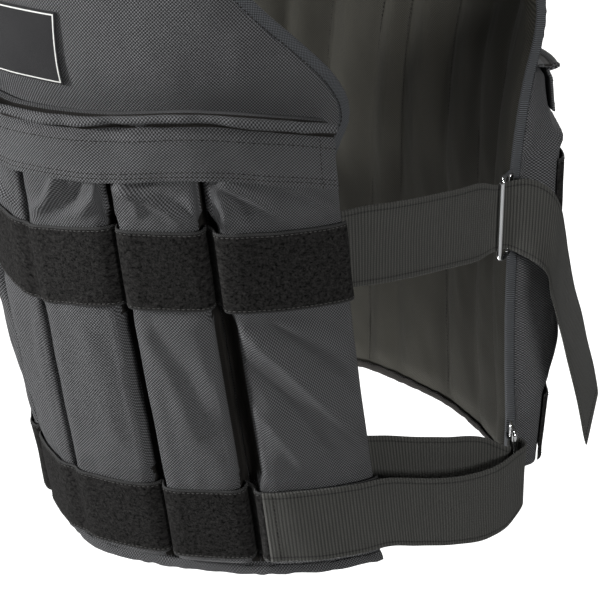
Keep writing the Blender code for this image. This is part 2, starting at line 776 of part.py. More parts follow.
def make_all():
    """Every piece of the vest, as one object each."""
    for side, word in ((-1, "front"), (1, "back")):
        make_panel(side, f"{word}_panel")
        make_flap(side, f"{word}_flap")
        make_hem(side, f"{word}_hem_tape")
        make_tape(side, UPPER_TAPE, f"{word}_upper_loop_tape")
        make_tape(side, LOWER_TAPE, f"{word}_lower_loop_tape")
        for sign, hand in ((1, "left"), (-1, "right")):
            for column, place in enumerate(("inner", "middle", "outer")):
                make_pocket(side, column, sign, f"{word}_pocket_{hand}_{place}")
    make_label("label_patch")
    for sign, hand in ((1, "left"), (-1, "right")):
        make_shoulder(sign, f"shoulder_strap_{hand}")
        make_upper_strap(sign, f"upper_side_strap_{hand}")
        make_lower_strap(sign, f"lower_side_strap_{hand}")
        for level in ("upper", "lower"):
            make_ring(sign, level, f"{level}_ring_{hand}")
            make_tab(sign, level, f"{level}_ring_tab_{hand}")


for old in list(bpy.data.objects):
    bpy.data.objects.remove(old)
PARTS = bpy.data.collections.new("weighted_vest")
bpy.context.scene.collection.children.link(PARTS)
make_all()
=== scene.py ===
"""Looks of a pullover weighted vest in its worn form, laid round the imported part.

Every cloth piece is a surface of two parameters: the way round the torso and the way
up it. The same tables as the part's place a point, and the functions here add the
fullness, folds, seams, bindings and stitches.
"""

import bpy
import numpy as np
from bpy.props import FloatProperty, FloatVectorProperty, PointerProperty
from mathutils import Matrix, Vector


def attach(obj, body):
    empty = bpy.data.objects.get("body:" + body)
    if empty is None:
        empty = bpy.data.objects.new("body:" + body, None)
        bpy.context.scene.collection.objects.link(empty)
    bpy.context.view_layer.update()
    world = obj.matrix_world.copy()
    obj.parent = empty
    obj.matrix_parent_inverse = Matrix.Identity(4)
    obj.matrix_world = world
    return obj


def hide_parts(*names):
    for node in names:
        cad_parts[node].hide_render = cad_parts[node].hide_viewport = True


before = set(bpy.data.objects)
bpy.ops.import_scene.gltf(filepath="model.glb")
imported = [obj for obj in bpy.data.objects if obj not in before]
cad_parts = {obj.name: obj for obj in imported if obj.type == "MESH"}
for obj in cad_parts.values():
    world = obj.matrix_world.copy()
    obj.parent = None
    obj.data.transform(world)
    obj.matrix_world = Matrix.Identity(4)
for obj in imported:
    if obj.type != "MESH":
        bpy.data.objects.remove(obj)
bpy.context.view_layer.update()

bl_info = {
    "name": "Weighted vest",
    "version": (1, 0, 0),
    "blender": (4, 5, 0),
    "location": "3D View > Sidebar > Vest",
    "description": "Builds a weighted vest from parametric surfaces and procedural cloth",
    "category": "Object",
}

# Sizes of the part, in metres
LENGTH = 0.530
FRONT_WIDTH = 0.304
FRONT_DEPTH = 0.170
BACK_WIDTH = 0.418
BACK_DEPTH = 0.182
BACK_POWER = 2.4
FRONT_EDGE = 0.195
BACK_EDGE = 0.172
ARCH_START = 0.390
SHOULDER_FALL = 0.020
PANEL_WALL = 0.005
POCKET_FILL = 0.022
STRAP_WALL = 0.010
PANEL_CLEARANCE = 0.0007
POCKET_CLEARANCE = 0.0007
FRONT_SIDE_TOP = 0.255
BACK_SIDE_TOP = 0.275
FRONT_NECK = 0.385
BACK_NECK = 0.415
STRAP_START = 0.425
BACK_HEM_RISE = 0.028
BACK_HEM_SAG = 0.013
POCKET_BOTTOM = 0.0065
POCKET_TOP = 0.288
FLAP_BOTTOM = 0.261
FLAP_TOP = 0.2985
FLAP_WALL = 0.0020
FLAP_STANDOFF = 0.0020
FLAP_SHARE = 0.975
TAPE_WIDTH = 0.050
TAPE_WALL = 0.0016
TAPE_CLEARANCE = 0.0008
LOWER_TAPE = 0.013
UPPER_TAPE = 0.182
LABEL_WIDTH = 0.082
LABEL_HEIGHT = 0.041
LABEL_BOTTOM = 0.316
HEM_TAPE_HEIGHT = 0.005
WEBBING_WIDTH = 0.050
WEBBING_WALL = 0.0018
WEBBING_GATHER = 0.88
RING_WIRE = 0.0034
RING_INNER_HEIGHT = 0.0505
RING_INNER_LENGTH = 0.013
RING_CORNER = 0.004
TAB_WIDTH = 0.030
TAB_WALL = 0.0012
RING_HEIGHTS = {"upper": 0.200, "lower": 0.032}
RING_PULLS = {"upper": 1.2, "lower": 0.1}
TAIL_LENGTH = 0.185
TAB_START = 0.0011
TAB_REACH = 0.0060
ROOT_START = 0.0010
LOWER_STRAP_DROP = 0.003
LOWER_ROOT_RISE = 0.018
LOWER_STRAP_END = 0.625

# Sizes of the cloth pieces alone, in metres
PANEL_RIM = 0.006
BINDING_BULGE = 0.0009
BINDING_OVERLAP = (0.0006, 0.0004)
BINDING_PUCKER = 0.00025
BINDING_PUCKER_RATE = 900
BINDING_STITCH_INSET = 0.0016
BINDING_STITCH_LIFT = 0.0011
LINING_SWELL_WIDTH = 0.009
POCKET_RIM = 0.005
POCKET_SIDE_RIM = 0.004
TAPE_HOLD = 0.012
GATHER_START = (0.0005, 0.006)
TAPE_RIM = 0.001
SELVEDGE_WIDTH = 0.0011
TAPE_STITCH_INSET = 0.0021
EDGE_RIM = 0.0015
FLAP_TURN_IN = 0.02
BACK_FLAP_SHARE = 0.78
LABEL_WALL = 0.0012
LABEL_LIFT = 0.0010
LABEL_RIM = 0.0006
BORDER_INSET = (0.0010, 0.0018)
HEM_WALL = 0.0010
HEM_FOLD = PANEL_WALL + 0.0026
HEM_STANDOFF = 0.0006
HEM_CLOTH_LENGTH = 0.014
SHOULDER_CLOTH_LENGTH = 0.36
STITCH_INSET = 0.006
LAID_STANDOFF = 0.0004

# Which way a panel faces (-1 in front, 1 behind) and which of the wearer's hands a piece is on
SIDES = (-1, 1)
SIGNS = (1, -1)
UP = np.array([0.0, 0.0, 1.0])

# The camera of the photograph, in metres in the part's frame
CAMERA_PLACE = (0.81531, -0.78789, 0.6019 - LENGTH)
CAMERA_WAY = (-0.63842, 0.66728, -0.38361)
CAMERA_LENS = 114.2
SENSOR_WIDTH = 36.0

# The stage, in metres, and the lights' power in watts
FLOOR_REACH = 12
VEST_MIDDLE = (0.05, 0.0, -0.28)
LIGHTS = (
    # name, place, where it looks, size, power
    ("key", (-1.5, -2.2, 0.35), VEST_MIDDLE, 0.45, 136.0),
    ("right", (2.5, -0.9, 0.3), VEST_MIDDLE, 0.6, 44.0),
    ("top", (0.2, -1.7, 2.4), VEST_MIDDLE, 1.0, 36.0),
    ("rear", (-0.9, 2.6, 0.5), VEST_MIDDLE, 1.0, 42.0),
    ("low", (0.0, -0.08, -0.72), (0.06, 0.50, -0.60), 0.15, 2.7),
)
# Strength of the white world: what lights the vest, and what only the camera sees beside it
WORLD_LIGHT, WORLD_SEEN = 0.06, 0.94

# Torso: height as a share of LENGTH, widths and depths as shares of the ovals
SECTIONS = (
    # height, front width, front depth, back width, back depth, squareness of the front
    (0.000, 0.955, 0.735, 0.960, 0.940, 1.60),
    (0.072, 0.958, 0.772, 0.975, 0.955, 1.62),
    (0.392, 0.980, 0.930, 0.985, 1.000, 1.87),
    (0.566, 1.000, 0.989, 0.980, 0.984, 2.00),
    (0.640, 1.000, 0.998, 0.955, 0.945, 2.08),
    (0.736, 1.000, 0.990, 0.925, 0.912, 2.15),
)
# Padding under the pocket faces, in shares of POCKET_FILL
PADDING = (
    # height as a share of LENGTH, depth in front, depth behind
    (0.000, 0.18, 0.18),
    (0.026, 0.50, 0.50),
    (0.120, 0.80, 0.85),
    (0.230, 1.00, 1.08),
    (0.345, 0.86, 1.15),
    (0.440, 0.82, 1.15),
    (0.540, 0.60, 0.85),
    (0.610, 0.12, 0.30),
    (0.736, 0.08, 0.08),
)
# How tightly tape and flap press a pocket together
PINCH = (
    # height as a share of LENGTH, tightness
    (0.000, 1.0),
    (0.120, 1.0),
    (0.230, 0.0),
    (0.345, 0.9),
    (0.440, 0.9),
    (0.500, 0.5),
    (0.545, 0.6),
)
# How the front's rows rise and fall round the vest, in shares of LENGTH
DRAPE = (
    # share of the way to the side edge, at the upper tape, at the flap
    (0.00, -0.0075, 0.0000),
    (0.31, 0.0060, 0.0050),
    (0.59, 0.0060, 0.0110),
    (0.85, 0.0050, -0.0010),
    (1.05, 0.0040, -0.0170),
)
POCKET_PROFILE = (
    # across, height where free, height where pinched, height of the side pocket
    (0.00, 0.30, 0.45, 0.40),
    (0.03, 0.88, 0.90, 0.90),
    (0.08, 1.00, 1.00, 1.00),
    (0.30, 1.03, 1.01, 1.03),
    (0.55, 1.00, 1.00, 1.03),
    (0.75, 0.90, 0.97, 1.00),
    (0.88, 0.68, 0.90, 0.96),
    (0.96, 0.38, 0.70, 0.90),
    (1.00, 0.16, 0.45, 0.78),
)
COLUMNS = {-1: (0.000, 0.312, 0.588, 1.000), 1: (0.000, 0.330, 0.650, 1.000)}
EDGES = {-1: FRONT_EDGE, 1: BACK_EDGE}
SIDE_TOPS = {-1: FRONT_SIDE_TOP, 1: BACK_SIDE_TOP}
NECKS = {-1: FRONT_NECK, 1: BACK_NECK}
WORDS = {-1: "front", 1: "back"}
# Which column of PADDING and MOUTHS belongs to a side
SIDE_COLUMNS = {-1: 1, 1: 2}
HANDS = {1: "left", -1: "right"}
PLACES = ("inner", "middle", "outer")
ARMHOLES = {
    # height as a share from the side's top to STRAP_START, edge as a share
    -1: (
        (0.00, 1.000),
        (0.12, 1.045),
        (0.20, 1.075),
        (0.27, 1.065),
        (0.37, 1.010),
        (0.51, 0.890),
        (0.62, 0.785),
        (0.80, 0.650),
        (1.00, 0.560),
    ),
    1: (
        (0.00, 1.000),
        (0.15, 0.985),
        (0.30, 0.930),
        (0.50, 0.800),
        (0.70, 0.670),
        (0.85, 0.600),
        (1.00, 0.570),
    ),
}
STRAP_EDGES = (
    # along, inner edge, outer edge
    (0.00, 0.31, 1.00),
    (0.25, 0.46, 1.04),
    (0.50, 0.58, 1.24),
    (0.75, 0.50, 1.12),
    (1.00, 0.31, 1.00),
)
TAIL = (
    # rearward, outward, down, how far it has turned flat
    (0.030, 0.060, 0.010, 0.05),
    (0.060, 0.125, 0.050, 0.30),
    (0.080, 0.160, 0.170, 0.65),
    (0.095, 0.195, 0.320, 0.90),
    (0.110, 0.230, 0.460, 1.00),
    (0.125, 0.265, 0.600, 1.00),
    (0.140, 0.295, 0.750, 1.00),
)
TAIL_LEAN = (-0.45, 0.85, 0.30)
# Straps from the front panel's edge to their rings: share of the way, bulge outwards
UPPER_RUN = ((0.2, 0.003), (0.45, 0.005), (0.7, 0.004), (0.9, 0.001))
LOWER_RUN = ((0.2, 0.003), (0.5, 0.006), (0.8, 0.004))
# Where the lower strap's points lie on the front tape, as shares of the way to its edge
LAID_SHARES = (1.0, 0.91, 0.82, 0.72)
FOLD = (
    # forward, outward, in radii of the bend round the ring's bar
    (1.5, -1.05),
    (0.0, -1.15),
    (-1.6, -0.75),
    (-2.4, 0.30),
    (-1.7, 1.40),
    (0.0, 1.90),
)
OUTER_LAYER = (
    # share of the way, bulge outwards, sag
    (0.15, 0.0060, 0.0060),
    (0.40, 0.0120, 0.0110),
    (0.65, 0.0110, 0.0090),
    (0.85, 0.0050, 0.0040),
)

# The same where the cloth hangs free: full, then straight down into the gap beside it
DRESSED_PROFILE = (
    # across, height where free, height of the side pocket
    (0.00, 0.04, 0.04),
    (0.02, 0.66, 0.66),
    (0.05, 0.94, 0.94),
    (0.10, 1.03, 1.03),
    (0.30, 1.07, 1.05),
    (0.55, 1.06, 1.05),
    (0.80, 1.02, 1.02),
    (0.88, 0.96, 1.00),
    (0.92, 0.80, 0.99),
    (0.94, 0.25, 0.97),
    (0.96, 0.04, 0.93),
    (0.975, 0.03, 0.84),
    (0.990, 0.03, 0.55),
    (1.00, 0.03, 0.04),
)
# How full the pockets behind stay towards their mouths
MOUTHS = (
    # height, fullness in front, fullness behind
    (0.000, 1.00, 1.00),
    (0.205, 1.00, 1.00),
    (0.240, 1.00, 0.90),
    (0.262, 1.00, 0.60),
    (0.288, 1.00, 0.34),
    (0.300, 1.00, 0.28),
)

# Folds in the pockets' cloth: a ridge between two places of a pocket's face
POCKET_FOLDS = {
    # across and height of its start, across and height of its end, width, height of the ridge
    0: (
        (0.50, 0.176, 0.60, 0.085, 0.0070, 0.0010),
        (0.15, 0.178, 0.34, 0.120, 0.0060, -0.0006),
        (0.10, 0.070, 0.60, 0.080, 0.0060, 0.0007),
    ),
    1: (
        (0.04, 0.178, 0.50, 0.095, 0.0060, 0.0014),
        (0.25, 0.178, 0.75, 0.085, 0.0060, -0.0009),
        (0.55, 0.178, 0.90, 0.110, 0.0060, 0.0010),
    ),
    2: (
        (0.06, 0.176, 0.95, 0.080, 0.0046, 0.0040),
        (0.10, 0.150, 0.70, 0.072, 0.0042, -0.0032),
        (0.20, 0.178, 1.00, 0.112, 0.0044, -0.0026),
        (0.32, 0.178, 1.00, 0.134, 0.0046, 0.0024),
        (0.55, 0.178, 1.00, 0.152, 0.0040, -0.0018),
        (0.08, 0.122, 0.45, 0.070, 0.0044, 0.0022),
    ),
}
# Folds where a pocket's cloth draws together under the flap, as above
NECK_FOLDS = {
    0: (
        (0.55, 0.266, 0.10, 0.236, 0.0032, 0.0034),
        (0.80, 0.266, 0.35, 0.236, 0.0032, -0.0024),
        (0.98, 0.266, 0.60, 0.236, 0.0032, 0.0030),
    ),
    1: (
        (0.05, 0.258, 0.80, 0.236, 0.0032, 0.0045),
        (0.45, 0.262, 0.97, 0.238, 0.0032, 0.0040),
        (0.25, 0.264, 0.90, 0.246, 0.0030, -0.0035),
        (0.10, 0.266, 0.30, 0.236, 0.0040, 0.0020),
    ),
    2: (
        (0.00, 0.262, 0.12, 0.234, 0.0030, 0.0040),
        (0.05, 0.262, 0.55, 0.236, 0.0032, 0.0034),
        (0.10, 0.266, 0.80, 0.246, 0.0028, -0.0024),
        (0.35, 0.266, 0.95, 0.238, 0.0034, 0.0026),
        (0.04, 0.256, 0.30, 0.234, 0.0028, -0.0028),
    ),
}
# Where the cloth draws in from a pocket's two ends, as shares of its width
DRAWN_IN = {
    # inner end and outer end where free, the same under a tape, the same at the flap
    0: (0.000, 0.020, 0.000, 0.050, 0.000, -0.050),
    1: (0.010, 0.000, 0.030, 0.060, -0.015, -0.050),
    2: (0.085, 0.000, 0.050, 0.000, -0.015, 0.000),
}
# The flap from its sewn edge to its free one, with the ridge that it folds over
FLAP_ROWS = (
    # share of the cloth's way, height as a share of the flap's, how far out it has come, standoff
    (0.00, 1.000, 0.00, 0.20),
    (0.10, 1.000, 0.45, 0.60),
    (0.18, 1.000, 0.92, 2.00),
    (0.22, 1.035, 0.98, 2.80),
    (0.27, 1.030, 1.00, 3.50),
    (0.32, 0.970, 1.00, 3.70),
    (0.36, 0.915, 1.00, 2.20),
    (0.40, 0.880, 1.00, 0.30),
    (0.45, 0.830, 1.00, 0.40),
    (0.52, 0.735, 1.00, 1.40),
    (0.62, 0.580, 1.00, 1.45),
    (0.85, 0.240, 1.00, 1.20),
    (1.00, 0.000, 1.00, 1.10),
)
# The hem's tape from the outer face round the edge to the inner one
HEM_ROWS = (
    # share of the cloth's way, height as a share, how far in as a share of the panel's wall
    (0.00, 1.00, -0.02),
    (0.30, 0.25, -0.02),
    (0.42, -0.06, 0.12),
    (0.50, -0.14, 0.50),
    (0.58, -0.06, 0.88),
    (0.70, 0.25, 1.02),
    (1.00, 1.00, 1.02),
)
# Fullness below which a pocket's faces are painted near black, as painted shade in the gaps between
# pockets
PAINTED_SHADE_SHARE = 0.55
# Ripples of the cloth. A spacing that is a fraction is a share of the cloth's own way
RIPPLES = {
    # height, spacing across, spacing along, shift across, shift along, seed
    "chest": ((0.0011, 0.030, 0.042, 5, 3, 11), (0.0006, 0.013, 0.02, 9, 3, 23)),
    "lining": ((0.0022, 0.017, 0.070, 7, 2, 31),),
    "lining creases": ((0.0008, 0.007, 0.03, 7, 2, 35),),
    "pocket": ((0.0006, 0.021, 0.034, 3, 8, 0),),
    "side pocket": ((0.0012, 0.021, 0.034, 3, 8, 0),),
    "pocket creases": ((0.0004, 0.009, 0.016, 5, 1, 1),),
    "gathers over a tape": ((0.0011, 0.0065, 0.03, 11, 0, 2),),
    "gathers under a tape": ((0.0009, 0.008, 0.03, 0, 0, 3),),
    "tape": ((0.0005, 0.019, 0.02, 40, 0, 61),),
    "tape edges": ((0.0004, 0.008, 0.006, 40, 0, 63),),
    "flap ridge": ((0.0022, 0.024, 1 / 2, 30, 0, 77),),
    "flap gathers": ((0.0021, 0.009, 1 / 4, 60, 0, 71),),
    "flap skirt": ((0.0013, 0.020, 1 / 3, 50, 0, 73),),
    "flap edge": ((0.0006, 0.006, 1 / 3, 50, 0, 75),),
    # A mask only: where it lies above -0.6, the flap's crease band is painted as shade
    "flap crease shade": ((1.0, 0.014, 1 / 3, 60, 0, 79),),
    "label": ((0.0004, 0.02, 0.02, 5, 0, 81),),
    "webbing": ((0.0011, 0.020, 1 / 1.5, 20, 9, 85),),
    "hem": ((0.0007, 0.005, 1 / 3, 40, 0, 91), (0.0008, 0.023, 1, 40, 0, 93)),
    "shoulder": ((0.05, 1 / 3, 1 / 9, 3, 0, 97),),
}
# Width and depth of the groove in a tape at each join, and how far out from the join it lies
GROOVES = ((0.0046, 0.0055, -0.0007), (0.0072, 0.0085, 0.0004))
# Stitched seams of the quilted lining at the hem, as the way round from the middle
LINING_SEAMS = (0.014, 0.066, 0.108, 0.144)
SEAM_SPREAD = 1.05
SEAM_LEAN = 0.60
SEAM_STARTS = {-1: 0.012, 1: 0.035}
SEAM_END = 0.40


def smooth(where, table, column):
    """The table's column at where: a cubic whose slope at each row is that of its neighbours."""
    rows = np.array(table, float)
    x, y = rows[:, 0], rows[:, column]
    slope = np.gradient(y, x)
    at = np.clip(np.asarray(where, float), x[0], x[-1])
    i = np.clip(np.searchsorted(x, at, side="right") - 1, 0, len(x) - 2)
    width = x[i + 1] - x[i]
    t = (at - x[i]) / width
    start = (1 + 2 * t) * (1 - t) ** 2 * y[i] + t * (1 - t) ** 2 * width * slope[i]
    end = t * t * (3 - 2 * t) * y[i + 1] - t * t * (1 - t) * width * slope[i + 1]
    return start + end


def step(value, low, high):
    """0 below low, 1 above high, and 3t^2 - 2t^3 between."""
    t = np.clip((value - low) / (high - low), 0.0, 1.0)
    return t * t * (3 - 2 * t)


def oval(half_width, half_depth, power, along):
    """Superellipse by arc length: its polar angle comes from a table of lengths.

    The radius at an angle is ((sin / width)^p + (cos / depth)^p)^(-1/p), and the
    normal leans as (x / width)^(p-1) / width to (y / depth)^(p-1) / depth.
    """
    arrays = np.broadcast_arrays(half_width, half_depth, power, along)
    flat = [np.ravel(a).astype(float) for a in arrays]
    angle = np.linspace(0.0, np.pi / 2, 97)
    places = []
    for first in range(0, flat[0].size, 20000):
        a, b, p, s = (v[first:first + 20000] for v in flat)
        radius = polar(a[:, None], b[:, None], p[:, None], angle)
        x, y = radius * np.sin(angle), radius * np.cos(angle)
        length = np.cumsum(np.hypot(np.diff(x, axis=1), np.diff(y, axis=1)), axis=1)
        length = np.concatenate([np.zeros((len(a), 1)), length], axis=1)
        k = np.clip((length < s[:, None]).sum(1), 1, len(angle) - 1)
        row = np.arange(len(a))
        share = (s - length[row, k - 1]) / (length[row, k] - length[row, k - 1])
        turn = angle[k - 1] + np.clip(share, 0, 1) * angle[1]
        radius = polar(a, b, p, turn)
        x, y = radius * np.sin(turn), radius * np.cos(turn)
        nx, ny = (x / a) ** (p - 1) / a, (y / b) ** (p - 1) / b
        size = np.hypot(nx, ny)
        places.append(np.stack([x, y, nx / size, ny / size]))
    return [v.reshape(arrays[0].shape) for v in np.concatenate(places, axis=1)]


def polar(a, b, p, turn):
    """Radius of a superellipse at a polar angle."""
    return ((np.sin(turn) / a) ** p + (np.cos(turn) / b) ** p) ** (-1 / p)


def padding(side, height):
    """Depth of the filling under the pocket faces."""
    return POCKET_FILL * smooth(height / LENGTH, PADDING, SIDE_COLUMNS[side])


def panel_depth(side, height):
    """How far the middle of a panel's shell lies inside the pocket faces."""
    return padding(side, height) + PANEL_CLEARANCE + PANEL_WALL / 2


def strap_edge(share, column):
    """Inner or outer edge of a shoulder strap, as the way round from the middle."""
    front = FRONT_EDGE * ARMHOLES[-1][-1][1]
    back = BACK_EDGE * ARMHOLES[1][-1][1]
    return (front + (back - front) * share) * smooth(share, STRAP_EDGES, column)


def shoulder_share(along):
    """How far across a shoulder strap a point lies, from 0 at its inner edge to 1."""
    inner, outer = strap_edge(0.5, 1), strap_edge(0.5, 2)
    return np.clip((along - inner) / (outer - inner), 0.0, 1.0)


def arch_length(depth, rise):
    """Length of a quarter of an ellipse."""
    return np.pi / 2 * np.sqrt((depth ** 2 + rise ** 2) / 2)


def wrap(side, along, height, out):
    """Points of the vest: an oval at each height, and an ellipse over the shoulder above.

    side is -1 in front and 1 behind, along is the way round from the middle, less
    than 0 on the wearer's right, and out is the distance outside the pocket faces.
    """
    along, height, out = np.broadcast_arrays(*(np.asarray(v, float) for v in (along, height, out)))
    sign = np.where(along < 0, -1.0, 1.0)
    way = np.abs(along)
    level = np.minimum(height, ARCH_START) / LENGTH
    first = 1 if side < 0 else 3
    width, depth = (FRONT_WIDTH, FRONT_DEPTH) if side < 0 else (BACK_WIDTH, BACK_DEPTH)
    power = smooth(level, SECTIONS, 5) if side < 0 else BACK_POWER
    half_width = 0.5 * width * smooth(level, SECTIONS, first)
    x, y, nx, ny = oval(half_width, depth * smooth(level, SECTIONS, first + 1), power, way)
    rise = LENGTH + STRAP_WALL - SHOULDER_FALL * shoulder_share(way) - ARCH_START
    turn = np.clip((height - ARCH_START) / arch_length(y, rise), 0, 1) * np.pi / 2
    arch = ARCH_START + (rise + out) * np.sin(turn)
    z = np.where(height <= ARCH_START, height, arch)
    across = sign * (x + nx * out * np.cos(turn))
    return np.stack([across, side * (y + ny * out) * np.cos(turn), z - LENGTH], axis=-1)


def row_height(side, share, level):
    """A row's height at a share of the way to the side edge: lifted by the hem, and draped."""
    share, level = np.broadcast_arrays(np.abs(share), level)
    if side > 0:
        lift = BACK_HEM_RISE - BACK_HEM_SAG * share ** 2
        return level + lift * np.clip(1 - level / UPPER_TAPE, 0, None)
    low, high = LOWER_TAPE + TAPE_WIDTH, UPPER_TAPE + TAPE_WIDTH
    rise = np.clip((level - low) / (UPPER_TAPE - low), 0, 1)
    turn = np.clip((level - high) / (FLAP_BOTTOM - high), 0, 1)
    at_tape, at_flap = (LENGTH * smooth(share, DRAPE, k) for k in (1, 2))
    return level + rise * (at_tape + turn * (at_flap - at_tape))


def panel_edge(side, height):
    """How far round from the middle the panel's edge lies at a height."""
    share = (height - SIDE_TOPS[side]) / (STRAP_START - SIDE_TOPS[side])
    return EDGES[side] * smooth(share, ARMHOLES[side], 1)


def panel_top(side, share):
    """Height of a panel's upper edge: the neck's curve, then level under the strap."""
    t = np.clip(np.abs(share) / STRAP_EDGES[0][1], 0.0, 1.0)
    return STRAP_START - (STRAP_START - NECKS[side]) * np.sqrt(1 - t ** 2.5)


def face_depth(side, height, column, across):
    """How far a pocket's face lies inside the oval, at a share of the way across it."""
    if column == 2:
        return padding(side, height) * (1 - smooth(across, POCKET_PROFILE, 3))
    free, pinched = (smooth(across, POCKET_PROFILE, k) for k in (1, 2))
    tight = smooth(height / LENGTH, PINCH, 1)
    return padding(side, height) * (1 - (free + (pinched - free) * tight))


def column_span(side, column):
    """Where a pocket starts and ends, round from the middle."""
    joins = COLUMNS[side]
    half_gap = POCKET_CLEARANCE / 2
    start = joins[column] * EDGES[side] + half_gap
    return start, joins[column + 1] * EDGES[side] - (half_gap if column < 2 else 0.0)


def unit(vector):
    """The vector, or each row's vector, at length one."""
    return vector / np.linalg.norm(vector, axis=-1, keepdims=True)


def mirrored(points, sign):
    """The points, or their twins on the wearer's right."""
    return points * np.array([sign, 1.0, 1.0])


def rimmed(start, stop, count, rim):
    """Places from start to stop, with more of them within a rim of either end."""
    close = rim * np.array([0.0, 0.06, 0.2, 0.45, 0.7])
    middle = np.linspace(start + rim, stop - rim, count)
    return np.concatenate([start + close, middle, stop - close[::-1]])


def rounding(value, start, stop, rim):
    """Share of the full wall near an end: a quarter circle of the rim's radius."""
    d = np.clip(np.minimum(value - start, stop - value) / rim, 0.0, 1.0)
    return np.maximum(np.sqrt(1 - (1 - d) ** 2), 0.03)


def grid_quads(index):
    """Quads of a grid of vertex numbers."""
    corners = (index[:-1, :-1], index[:-1, 1:], index[1:, 1:], index[1:, :-1])
    return np.stack([c.ravel() for c in corners], axis=1)


def volume(points, faces):
    """Six times the volume that the quads close in, as a sum of triple products."""
    a, b, c, d = (points[faces[:, k]] for k in range(4))
    halves = np.einsum("ij,ij->i", a, np.cross(b, c)) + np.einsum("ij,ij->i", a, np.cross(c, d))
    return halves.sum()


def put_mesh(name, points, faces, uv, materials, face_slots):
    """An object of quads with a UV map in metres, smooth, riding on the vest."""
    points = np.asarray(points, float)
    if volume(points, faces) < 0:
        faces = faces[:, ::-1]
    mesh = bpy.data.meshes.new(name)
    mesh.vertices.add(len(points))
    mesh.vertices.foreach_set("co", points.astype(np.float32).ravel())
    mesh.loops.add(faces.size)
    mesh.loops.foreach_set("vertex_index", faces.astype(np.int32).ravel())
    mesh.polygons.add(len(faces))
    mesh.polygons.foreach_set("loop_start", np.arange(0, faces.size, 4, dtype=np.int32))
    for material in materials:
        mesh.materials.append(material)
    mesh.polygons.foreach_set("material_index", np.asarray(face_slots, np.int32))
    mesh.polygons.foreach_set("use_smooth", np.ones(len(faces), bool))
    mesh.update(calc_edges=True)
    layer = mesh.uv_layers.new(name="UVMap")
    layer.uv.foreach_set("vector", uv[faces.ravel()].astype(np.float32).ravel())
    mesh.validate()
    thing = bpy.data.objects.new(name, mesh)
    bpy.context.scene.collection.objects.link(thing)
    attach(thing, "root")
    return thing


def solid(name, outer, inner, uv, materials, inner_material=0):
    """A closed piece between two grids: both faces and a strip of quads round the rim."""
    rows, columns = outer.shape[:2]
    count = rows * columns
    index = np.arange(count).reshape(rows, columns)
    front = grid_quads(index)
    back = front[:, ::-1] + count
    rim = np.concatenate([index[0], index[1:, -1], index[-1, -2::-1], index[-2:0:-1, 0]])
    after = np.roll(rim, -1)
    edge = np.stack([after, rim, rim + count, after + count], axis=1)
    faces = np.concatenate([front, back, edge])
    slots = np.repeat([0, inner_material, 0], [len(front), len(back), len(edge)])
    points = np.concatenate([outer.reshape(-1, 3), inner.reshape(-1, 3)])
    uv = np.broadcast_to(uv, (rows, columns, 2)).reshape(-1, 2)
    return put_mesh(name, points, faces, np.concatenate([uv, uv]), materials, slots)


def tube(name, rings, uv, materials, closed=False):
    """A closed tube through rings of points: quads between them, and strips as caps."""
    count, around = rings.shape[:2]
    index = np.arange(count * around).reshape(count, around)
    wrapped = np.concatenate([index, index[:, :1]], axis=1)
    if closed:
        wrapped = np.concatenate([wrapped, wrapped[:1]])
    faces = [grid_quads(wrapped)]
    if not closed:
        k = np.arange(around // 2 - 1)
        cap = np.stack([k, k + 1, around - 2 - k, around - 1 - k], axis=1)
        faces += [cap[:, ::-1], index[-1][cap]]
    faces = np.concatenate(faces)
    uv = np.broadcast_to(uv, (count, around, 2)).reshape(-1, 2)
    points = rings.reshape(-1, 3)
    return put_mesh(name, points, faces, uv, materials, np.zeros(len(faces)))


def uv_grid(across, up):
    """A UV map in metres from two arrays that fit a grid."""
    return np.stack(np.broadcast_arrays(across, up), axis=-1)


def tangents(path):
    """Unit tangents of a path's points."""
    return unit(np.gradient(path, axis=0))


def along_path(path, extra, pitch):
    """Places at equal steps of arc length along a path, with what else belongs to each."""
    steps = np.linalg.norm(np.diff(path, axis=0), axis=1)
    length = np.concatenate([[0.0], np.cumsum(steps)])
    at = np.arange(pitch / 2, length[-1], pitch)
    return [np.stack([np.interp(at, length, a[:, k]) for k in range(3)], 1) for a in (path, *extra)]


def stitch_mesh(name, rows, paint="sewing_thread"):
    """Dashes of thread along paths: each a bar of three squares, full in the middle.

    rows are (path, normals) pairs. A dash lies on its path with half of its thickness
    out of the cloth, and one comes at every stitch pitch of arc length.
    """
    sizes = bpy.context.scene.vest_sizes
    points = []
    for path, normals in rows:
        place, up = along_path(path, (normals,), sizes.stitch_pitch)
        way = tangents(place)
        up = unit(up - way * np.sum(up * way, axis=1, keepdims=True))
        side = np.cross(way, up)
        stations = np.array([-0.5, 0.0, 0.5]) * sizes.stitch_length
        size = np.array([0.35, 1.0, 0.35]) * sizes.stitch_width / 2
        corner = np.array([[-1, -0.8], [1, -0.8], [0.8, 0.8], [-0.8, 0.8]])
        p = place[:, None, None] + way[:, None, None] * stations[:, None, None]
        p = p + side[:, None, None] * (size[:, None] * corner[:, 0])[..., None]
        p = p + up[:, None, None] * (size[:, None] * corner[:, 1])[..., None]
        points.append(p.reshape(-1, 12, 3))
    points = np.concatenate(points)
    index = np.arange(12).reshape(3, 4)
    bar = np.concatenate([grid_quads(np.concatenate([index, index[:, :1]], axis=1)),
                          index[:1, ::-1], index[-1:]])
    faces = (bar[None] + 12 * np.arange(len(points))[:, None, None]).reshape(-1, 4)
    flat = points.reshape(-1, 3)
    return put_mesh(name, flat, faces, flat[:, :2], paints(paint), np.zeros(len(faces)))


